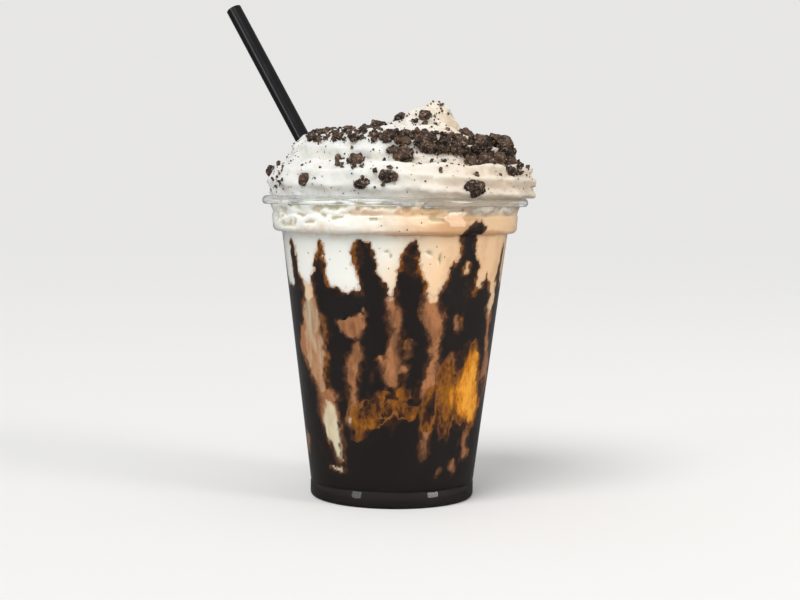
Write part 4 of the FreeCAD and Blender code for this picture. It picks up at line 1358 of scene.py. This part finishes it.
class Crumbs:
    """Crumbs lying on the cream, gathered into one mesh."""

    def __init__(self, cup, cookies):
        cream = bpy.data.objects["piped_cream"].data
        self.tree = BVHTree.FromPolygons(coordinates(cream).tolist(), corners_of(cream))
        self.rim_top = cup.height / MM
        self.chance = random.Random(cookies.seed)
        self.blanks = crumb_blanks()
        self.parts = []
        self.tones = []

    def add(self, place, out, size, flatness=1.0):
        """A crumb of a size at a place, sunk a little in whatever faces out there."""
        chance = self.chance
        blank_points, blank_faces = self.blanks[sum(size >= limit for limit in FINER_FROM)]
        offset = np.array([chance.uniform(0.0, 90.0) for _ in range(3)])
        lumps = 1.0 + 0.26 * layered_noise(blank_points + offset, 0.6, 3, 2)
        stretch = np.array([chance.uniform(0.7, 1.25) for _ in range(3)])
        for _ in range(BREAKS):
            face = np.array([chance.gauss(0.0, 1.0) for _ in range(3)])
            face /= np.linalg.norm(face)
            beyond = np.maximum(blank_points @ face - chance.uniform(0.35, 0.8), 0.0)
            blank_points = blank_points - beyond[:, None] * face
        axis = Vector([chance.uniform(-1.0, 1.0) for _ in range(3)]).normalized()
        spin = np.array(Matrix.Rotation(chance.uniform(0.0, 6.28), 3, axis))
        shaped = (blank_points * lumps[:, None] * stretch * size / 2.0) @ spin.T
        out = np.array(out)
        shaped -= (1.0 - flatness) * (shaped @ out)[:, None] * out
        self.parts.append((inside_box(shaped + np.array(place) + out * size * 0.2 * flatness), blank_faces))
        self.tones += [chance.random() ** 1.6] * len(blank_points)

    def fly(self, start, direction, size):
        """Lets a crumb fly from a place until it meets the cream over the rim."""
        hit, out, _, _ = self.tree.ray_cast(Vector(start), Vector(direction))
        if hit is not None and hit.z > self.rim_top + 0.4 + size * CRUMB_SINK:
            self.add(hit, out, size)

    def drop(self, across, back, size, highest=FALL_FROM):
        """Lets a crumb fall from above, unless the cream is higher there."""
        start, down = (across, back, self.rim_top + FALL_FROM), (0.0, 0.0, -1.0)
        hit = self.tree.ray_cast(Vector(start), Vector(down))[0]
        if hit is not None and hit.z < self.rim_top + highest:
            self.fly(start, down, size)

    def throw(self, across, over_rim, size):
        """Throws a crumb at the front of the cream."""
        self.fly((across, -THROWN_FROM, self.rim_top + over_rim), (0.0, 1.0, 0.0), size)


def make_crumbs(cup, cookies):
    """Crumbs strewn over the cream: close round the pieces, heaped on the crest, and as fine dust."""
    crumbs = Crumbs(cup, cookies)
    chance = crumbs.chance
    for node in COOKIE_NODES:
        low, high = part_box(node)
        middle, size = (low + high) / (2.0 * MM), (high - low).length / MM
        for _ in range(cookies.crumbs_per_piece):
            angle, away = chance.uniform(0.0, FULL_TURN), size * chance.uniform(0.2, 0.9)
            crumb = chance.uniform(0.5, 1.2) if chance.random() < 0.7 else chance.uniform(1.2, 2.6)
            crumbs.drop(middle.x + away * math.cos(angle), middle.y + away * math.sin(angle), crumb)
    for across, over_rim, wide, tall, count, least, most in HEAPS:
        for _ in range(int(count * cookies.heaping)):
            right, up = wide * chance.uniform(-1.0, 1.0), tall * chance.uniform(-1.0, 1.0)
            crumbs.throw(across + right, over_rim + up, chance.triangular(least, most, least))
    for across, back, wide, deep, count, least, most in CREST_HEAPS:
        for _ in range(int(count * cookies.heaping)):
            right, away = wide * chance.uniform(-1.0, 1.0), deep * chance.uniform(-1.0, 1.0)
            crumbs.drop(across + right, back + away, chance.triangular(least, most, least), CREST_TOP)
    for _ in range(cookies.dust_crumbs):
        angle = chance.uniform(0.0, FULL_TURN)
        across, back = math.cos(angle), math.sin(angle)
        if chance.random() < 0.5:
            away = DUST_SPREAD * math.sqrt(chance.random())
            crumbs.drop(DUST_MIDDLE + away * across, away * back, chance.triangular(0.25, 1.0, 0.35))
        else:
            start = (DUST_MIDDLE + 1.0 + DUST_BLOWN_FROM * across, DUST_BLOWN_FROM * back,
                     crumbs.rim_top + chance.uniform(1.0, 26.0))
            crumbs.fly(start, (-across, -back, 0.0), chance.triangular(0.25, 0.9, 0.35))
    inside = inside_outline(cup)
    specks = list(WALL_SPECKS)
    for _ in range(cookies.wall_specks):
        specks.append((chance.uniform(-180.0, 180.0), chance.uniform(*SPECK_BAND),
                       chance.triangular(0.3, 0.9, 0.4)))
    for bearing, height, size in specks:
        radius = wall_radius(inside, height) + SPECK_REACH
        angle = math.radians(bearing)
        out = np.array([math.sin(angle), -math.cos(angle), 0.0])
        crumbs.add(radius * out + (0.0, 0.0, height), out, size, SPECK_THICKNESS / max(size, 0.5))
    piece = joined("cookie_crumbs", crumbs.parts)
    set_attribute(piece, "tone", crumbs.tones)
    piece.data.polygons.foreach_set("use_smooth", [False] * len(piece.data.polygons))
    finish_piece(piece, bpy.data.materials["chocolate_cookie"], [])


def straw_axis(cup, straw):
    """The middle of the straw's lower end, its direction upwards, and its length."""
    at_rim = np.array([STRAW_ACROSS, STRAW_BACK, cup.height / MM])
    bearing = math.radians(STRAW_END_BEARING)
    low = SAUCE_LEVEL - STRAW_DIP
    radius_here = wall_radius(inside_outline(cup), low)
    reach_of_edge = straw.diameter / MM / 2.0
    for _ in range(10):
        radius = radius_here - STRAW_WALL_GAP - reach_of_edge
        tip = np.array([radius * math.cos(bearing), radius * math.sin(bearing), low])
        along = (at_rim - tip) / np.linalg.norm(at_rim - tip)
        reach_of_edge = straw.diameter / MM / 2.0 * along[2]
    length = np.linalg.norm(at_rim - tip) + STRAW_ABOVE / along[2]
    return tip, along, length


def make_straw(cup, straw):
    """The open tube with its square-cut ends."""
    tip, along, length = straw_axis(cup, straw)
    outer = straw.diameter / MM / 2.0
    inner = outer - straw.wall / MM
    edge = straw.wall / MM * 0.35
    outline = [
        (inner, edge), (inner + edge, 0.0), (outer - edge, 0.0), (outer, edge),
        (outer, length - edge), (outer - edge, length), (inner + edge, length), (inner, length - edge),
        (inner, edge),
    ]
    outline = resampled(np.array(outline), 9.0)
    points, faces = turned(outline, STRAW_AROUND)
    turn = np.array(Vector(along).to_track_quat("Z", "Y").to_matrix())
    piece = add_mesh("drinking_straw", points @ turn.T + tip, faces)
    applied(piece, "WELD", merge_threshold=1e-4 * MM)
    mark_sharp(piece, 30.0)
    finish_piece(piece, straw_finish(straw), ["straw"])


def mark_sharp(piece, degrees):
    """Keeps edges that turn by more than an angle crisp."""
    piece.data.set_sharp_from_angle(angle=math.radians(degrees))


# --- Stage -----------------------------------------------------------------------------------------------

def aimed(place, target):
    """The turn of a lamp at a place that shines at a target."""
    return (Vector(target) - Vector(place)).to_track_quat("-Z", "Y").to_euler()


def make_light(name, kind, turn, place=(0.0, 0.0, 0.0), **settings):
    """A lamp with its settings; lengths in metres."""
    data = bpy.data.lights.new(name, kind)
    for key, value in settings.items():
        setattr(data, key, value)
    lamp = bpy.data.objects.new(name, data)
    lamp.location = place
    lamp.rotation_euler = turn
    bpy.context.scene.collection.objects.link(lamp)


def make_world(stage):
    """Even light from all round, which looks paler to the camera and dimmer to mirrors."""
    sky = Finish("studio", "World")
    path = sky.add("ShaderNodeLightPath").outputs
    seen = sky.math("MAXIMUM", path["Is Camera Ray"], path["Is Transmission Ray"])
    shown = sky.add("ShaderNodeBackground", {"Color": colour4(stage.backdrop_colour)}).outputs[0]
    strength = sky.band(path["Is Glossy Ray"], 0.0, 1.0, stage.daylight, MIRRORED_SHARE * stage.daylight)
    light = sky.add("ShaderNodeBackground", {"Color": (1.0, 1.0, 1.0, 1.0), "Strength": strength}).outputs[0]
    return sky.show(sky.add("ShaderNodeMixShader", {0: seen, 1: light, 2: shown}).outputs[0])


def make_stage(stage):
    """Table, daylight, lamps and camera."""
    scene = bpy.context.scene
    corners = [(TABLE_HALF * x, TABLE_HALF * y, 0.0) for x, y in ((-1, -1), (1, -1), (1, 1), (-1, 1))]
    floor = add_mesh("table", corners, [(0, 1, 2, 3)], False)
    floor.data.materials.append(stage_finish(stage))
    scene.world = make_world(stage)
    make_light("key_light", "SUN", aimed(KEY_FROM, (0.0, 0.0, 0.0)), energy=stage.key,
               angle=math.radians(KEY_SOFTNESS))
    for name, place, (wide, high), share, colour in LAMPS:
        make_light(name, "AREA", aimed(place, LAMP_AIM), place, shape="RECTANGLE", size=wide, size_y=high,
                   energy=share * stage.lamp_power, color=colour)

    camera_data = bpy.data.cameras.new("camera")
    camera_data.lens = CAMERA_LENS
    camera_data.sensor_width = CAMERA_SENSOR
    camera_data.clip_start = 0.01
    camera = bpy.data.objects.new("camera", camera_data)
    turn = (Matrix.Rotation(math.radians(-CAMERA_YAW), 4, "Z")
            @ Matrix.Rotation(math.radians(90.0 - CAMERA_PITCH), 4, "X")
            @ Matrix.Rotation(math.radians(CAMERA_ROLL), 4, "Z"))
    camera.matrix_world = Matrix.Translation((0.0, -CAMERA_DISTANCE * MM, CAMERA_HEIGHT * MM)) @ turn
    scene.collection.objects.link(camera)
    scene.camera = camera
    scene.view_settings.view_transform = "Standard"


# --- Properties ------------------------------------------------------------------------------------------

def length_property(name, description, default):
    """A length that a user may change, in metres."""
    return bpy.props.FloatProperty(
        name=name, description=description, default=default, min=0.0, unit="LENGTH", precision=5)


def colour_property(name, description, default):
    """A colour that a user may change."""
    return bpy.props.FloatVectorProperty(
        name=name, description=description, default=default, min=0.0, max=1.0, subtype="COLOR", size=3)


def share_property(name, description, default, least=0.0, most=1.0):
    """A share that a user may change."""
    return bpy.props.FloatProperty(
        name=name, description=description, default=default, min=least, max=most, subtype="FACTOR")


def count_property(name, description, default):
    """A count, or a seed, that a user may change."""
    return bpy.props.IntProperty(
        name=name, description=description, default=default, min=0, subtype="UNSIGNED")


class MilkshakeCup(bpy.types.PropertyGroup):
    """Sizes and tint of the cup."""
    height: length_property("Height", "Height of the cup to the top of its rim", 0.111)
    wall: length_property("Wall", "Thickness of the formed sheet", 0.0005)
    rim_radius: length_property("Rim Radius", "Outside of the rolled rim", 0.049)
    foot_radius: length_property("Foot Radius", "Outside of the foot", 0.0303)
    tint: colour_property("Tint", "Colour of the clear plastic", (0.985, 0.99, 0.985))


class MilkshakeDrink(bpy.types.PropertyGroup):
    """Colours of the shake and its sauce."""
    shake_colour: colour_property("Shake", "Colour of the shake", (0.46, 0.205, 0.088))
    shake_brown: colour_property("Streaks", "Brown streaks in the shake", (0.16, 0.066, 0.026))
    amber_colour: colour_property("Amber", "Where light comes through thin sauce", (0.62, 0.235, 0.012))
    glow_colour: colour_property("Glow", "Brightest of the amber", (0.84, 0.42, 0.05))
    sauce_colour: colour_property("Sauce", "Thick chocolate sauce", (0.0085, 0.0055, 0.0048))
    sauce_brown: colour_property("Sauce Brown", "Sauce of middling thickness", (0.045, 0.016, 0.007))
    sauce_thin: colour_property("Thin Sauce", "Thin sauce on cream", (0.22, 0.075, 0.008))
    sauce_edge: colour_property("Sauce Edge", "The sauce's outermost edge", (0.26, 0.105, 0.03))
    veil_colour: colour_property("Veil", "Shake seen through a veil of sauce", (0.085, 0.036, 0.018))
    ivory_colour: colour_property("Ivory", "Cream that sank into the shake", (0.72, 0.64, 0.46))
    seed: count_property("Seed", "Changes the runs at the back", 7)


class MilkshakeCream(bpy.types.PropertyGroup):
    """Colours and ridges of the whipped cream."""
    colour: colour_property("Cream", "Colour of the cream", (0.935, 0.92, 0.865))
    # Colour of the painted warm shade on the cream, and of the pale cream marbled into the shake.
    warm_cream_and_shade_colour: colour_property("Warm Cream", "Cream with some shake stirred in", (0.86, 0.62, 0.41))
    # Colour of the painted shade in the hollows behind the neck and in the creases of the swirl.
    hollow_shade_colour: colour_property("Hollows", "Cream that doesn't touch the cup", (0.50, 0.43, 0.25))
    stain_colour: colour_property("Stain", "Cream stained by the sauce", (0.52, 0.26, 0.09))
    ridge_depth: length_property("Ridge Depth", "Depth of the ridges left by the nozzle", 0.00075)
    grain: length_property("Detail", "Size of the faces of the cream", 0.00055)
    share_kept: share_property("Share Kept", "Share of the swirl's faces that is kept", 0.34, 0.05)


class MilkshakeCookies(bpy.types.PropertyGroup):
    """Colours and numbers of the cookie pieces and crumbs."""
    colour: colour_property("Cookie", "Colour of the cookie", (0.016, 0.0095, 0.007))
    crumb_colour: colour_property("Crumb", "Broken faces of the cookie", (0.12, 0.068, 0.042))
    sugar_colour: colour_property("Sugar", "Pale grains in the cookie", (0.42, 0.30, 0.22))
    grain: length_property("Detail", "Size of the faces of the cookie pieces", 0.00039)
    crumbs_per_piece: count_property("Crumbs per Piece", "Crumbs strewn round each piece", 12)
    heaping: share_property("Heaping", "How many crumbs lie in the heaps", 1.0, most=2.0)
    dust_crumbs: count_property("Dust", "Fine crumbs all over the cream", 1100)
    wall_specks: count_property("Specks", "Specks between the cream and the cup", 26)
    seed: count_property("Seed", "Changes where the crumbs lie", 5)


class MilkshakeStraw(bpy.types.PropertyGroup):
    """Sizes and colour of the straw."""
    diameter: length_property("Diameter", "Outside of the straw", 0.0058)
    wall: length_property("Wall", "Thickness of the straw's wall", 0.0003)
    colour: colour_property("Colour", "Colour of the straw", (0.005, 0.005, 0.006))


class MilkshakeStage(bpy.types.PropertyGroup):
    """Table and light."""
    floor_colour: colour_property("Table", "Colour of the table", (0.91, 0.905, 0.895))
    bounce_colour: colour_property(
        "Table's Bounce", "Colour of the light that the table sends back", (0.28, 0.28, 0.275))
    backdrop_colour: colour_property("Backdrop", "Colour behind the table", (0.80, 0.795, 0.785))
    daylight: share_property("Daylight", "Even light from all round", 0.48)
    key: bpy.props.FloatProperty(
        name="Key Light", description="Strength of the key light in watts a square metre", default=1.55,
        min=0.0, subtype="UNSIGNED")
    lamp_power: bpy.props.FloatProperty(
        name="Lamps", description="Power of the side lamp", default=6.2, min=0.0, unit="POWER")


# --- Operators -------------------------------------------------------------------------------------------

class MILKSHAKE_OT_cup(bpy.types.Operator):
    """Make the clear cup"""
    bl_idname = "milkshake.cup"
    bl_label = "Cup"

    def execute(self, context):
        make_cup(context.scene.milkshake_cup)
        return {"FINISHED"}


class MILKSHAKE_OT_drink(bpy.types.Operator):
    """Make the chocolate sauce and the shake in the cup"""
    bl_idname = "milkshake.drink"
    bl_label = "Sauce and Shake"

    def execute(self, context):
        scene = context.scene
        make_sauce(scene.milkshake_cup, scene.milkshake_drink)
        make_shake(scene.milkshake_cup, scene.milkshake_drink, scene.milkshake_cream)
        return {"FINISHED"}


class MILKSHAKE_OT_cream(bpy.types.Operator):
    """Make the whipped cream in the neck and the swirl on it"""
    bl_idname = "milkshake.cream"
    bl_label = "Whipped Cream"

    def execute(self, context):
        scene = context.scene
        make_cream(scene.milkshake_cup, scene.milkshake_drink, scene.milkshake_cream)
        return {"FINISHED"}


class MILKSHAKE_OT_cookies(bpy.types.Operator):
    """Make the pieces of cookie and the crumbs"""
    bl_idname = "milkshake.cookies"
    bl_label = "Cookies"

    def execute(self, context):
        scene = context.scene
        if "piped_cream" not in bpy.data.objects:
            raise RuntimeError("The crumbs lie on the cream: make the whipped cream first")
        make_cookies(scene.milkshake_cookies)
        make_crumbs(scene.milkshake_cup, scene.milkshake_cookies)
        return {"FINISHED"}


class MILKSHAKE_OT_straw(bpy.types.Operator):
    """Make the straw"""
    bl_idname = "milkshake.straw"
    bl_label = "Straw"

    def execute(self, context):
        make_straw(context.scene.milkshake_cup, context.scene.milkshake_straw)
        return {"FINISHED"}


class MILKSHAKE_OT_stage(bpy.types.Operator):
    """Make the table, the lamps and the camera"""
    bl_idname = "milkshake.stage"
    bl_label = "Stage"

    def execute(self, context):
        make_stage(context.scene.milkshake_stage)
        return {"FINISHED"}


class MILKSHAKE_PT_panel(bpy.types.Panel):
    """Sizes, colours and steps of the milkshake"""
    bl_label = "Milkshake"
    bl_idname = "MILKSHAKE_PT_panel"
    bl_space_type = "VIEW_3D"
    bl_region_type = "UI"
    bl_category = "Milkshake"

    def draw(self, context):
        for attribute, group, operator in STEPS:
            box = self.layout.box()
            for name in group.__annotations__:
                box.prop(getattr(context.scene, attribute), name)
            box.operator(operator.bl_idname)


STEPS = (
    ("milkshake_cup", MilkshakeCup, MILKSHAKE_OT_cup),
    ("milkshake_drink", MilkshakeDrink, MILKSHAKE_OT_drink),
    ("milkshake_cream", MilkshakeCream, MILKSHAKE_OT_cream),
    ("milkshake_cookies", MilkshakeCookies, MILKSHAKE_OT_cookies),
    ("milkshake_straw", MilkshakeStraw, MILKSHAKE_OT_straw),
    ("milkshake_stage", MilkshakeStage, MILKSHAKE_OT_stage),
)


def register():
    """Registers the properties, operators and panel."""
    for attribute, group, operator in STEPS:
        bpy.utils.register_class(group)
        bpy.utils.register_class(operator)
        setattr(bpy.types.Scene, attribute, bpy.props.PointerProperty(type=group))
    bpy.utils.register_class(MILKSHAKE_PT_panel)


def unregister():
    """Takes them away again."""
    bpy.utils.unregister_class(MILKSHAKE_PT_panel)
    for attribute, group, operator in reversed(STEPS):
        delattr(bpy.types.Scene, attribute)
        bpy.utils.unregister_class(operator)
        bpy.utils.unregister_class(group)


def main():
    """Makes the milkshake and its stage."""
    register()
    bpy.ops.milkshake.cup()
    bpy.ops.milkshake.drink()
    bpy.ops.milkshake.cream()
    bpy.ops.milkshake.cookies()
    bpy.ops.milkshake.straw()
    bpy.ops.milkshake.stage()


if __name__ == "__main__":
    main()
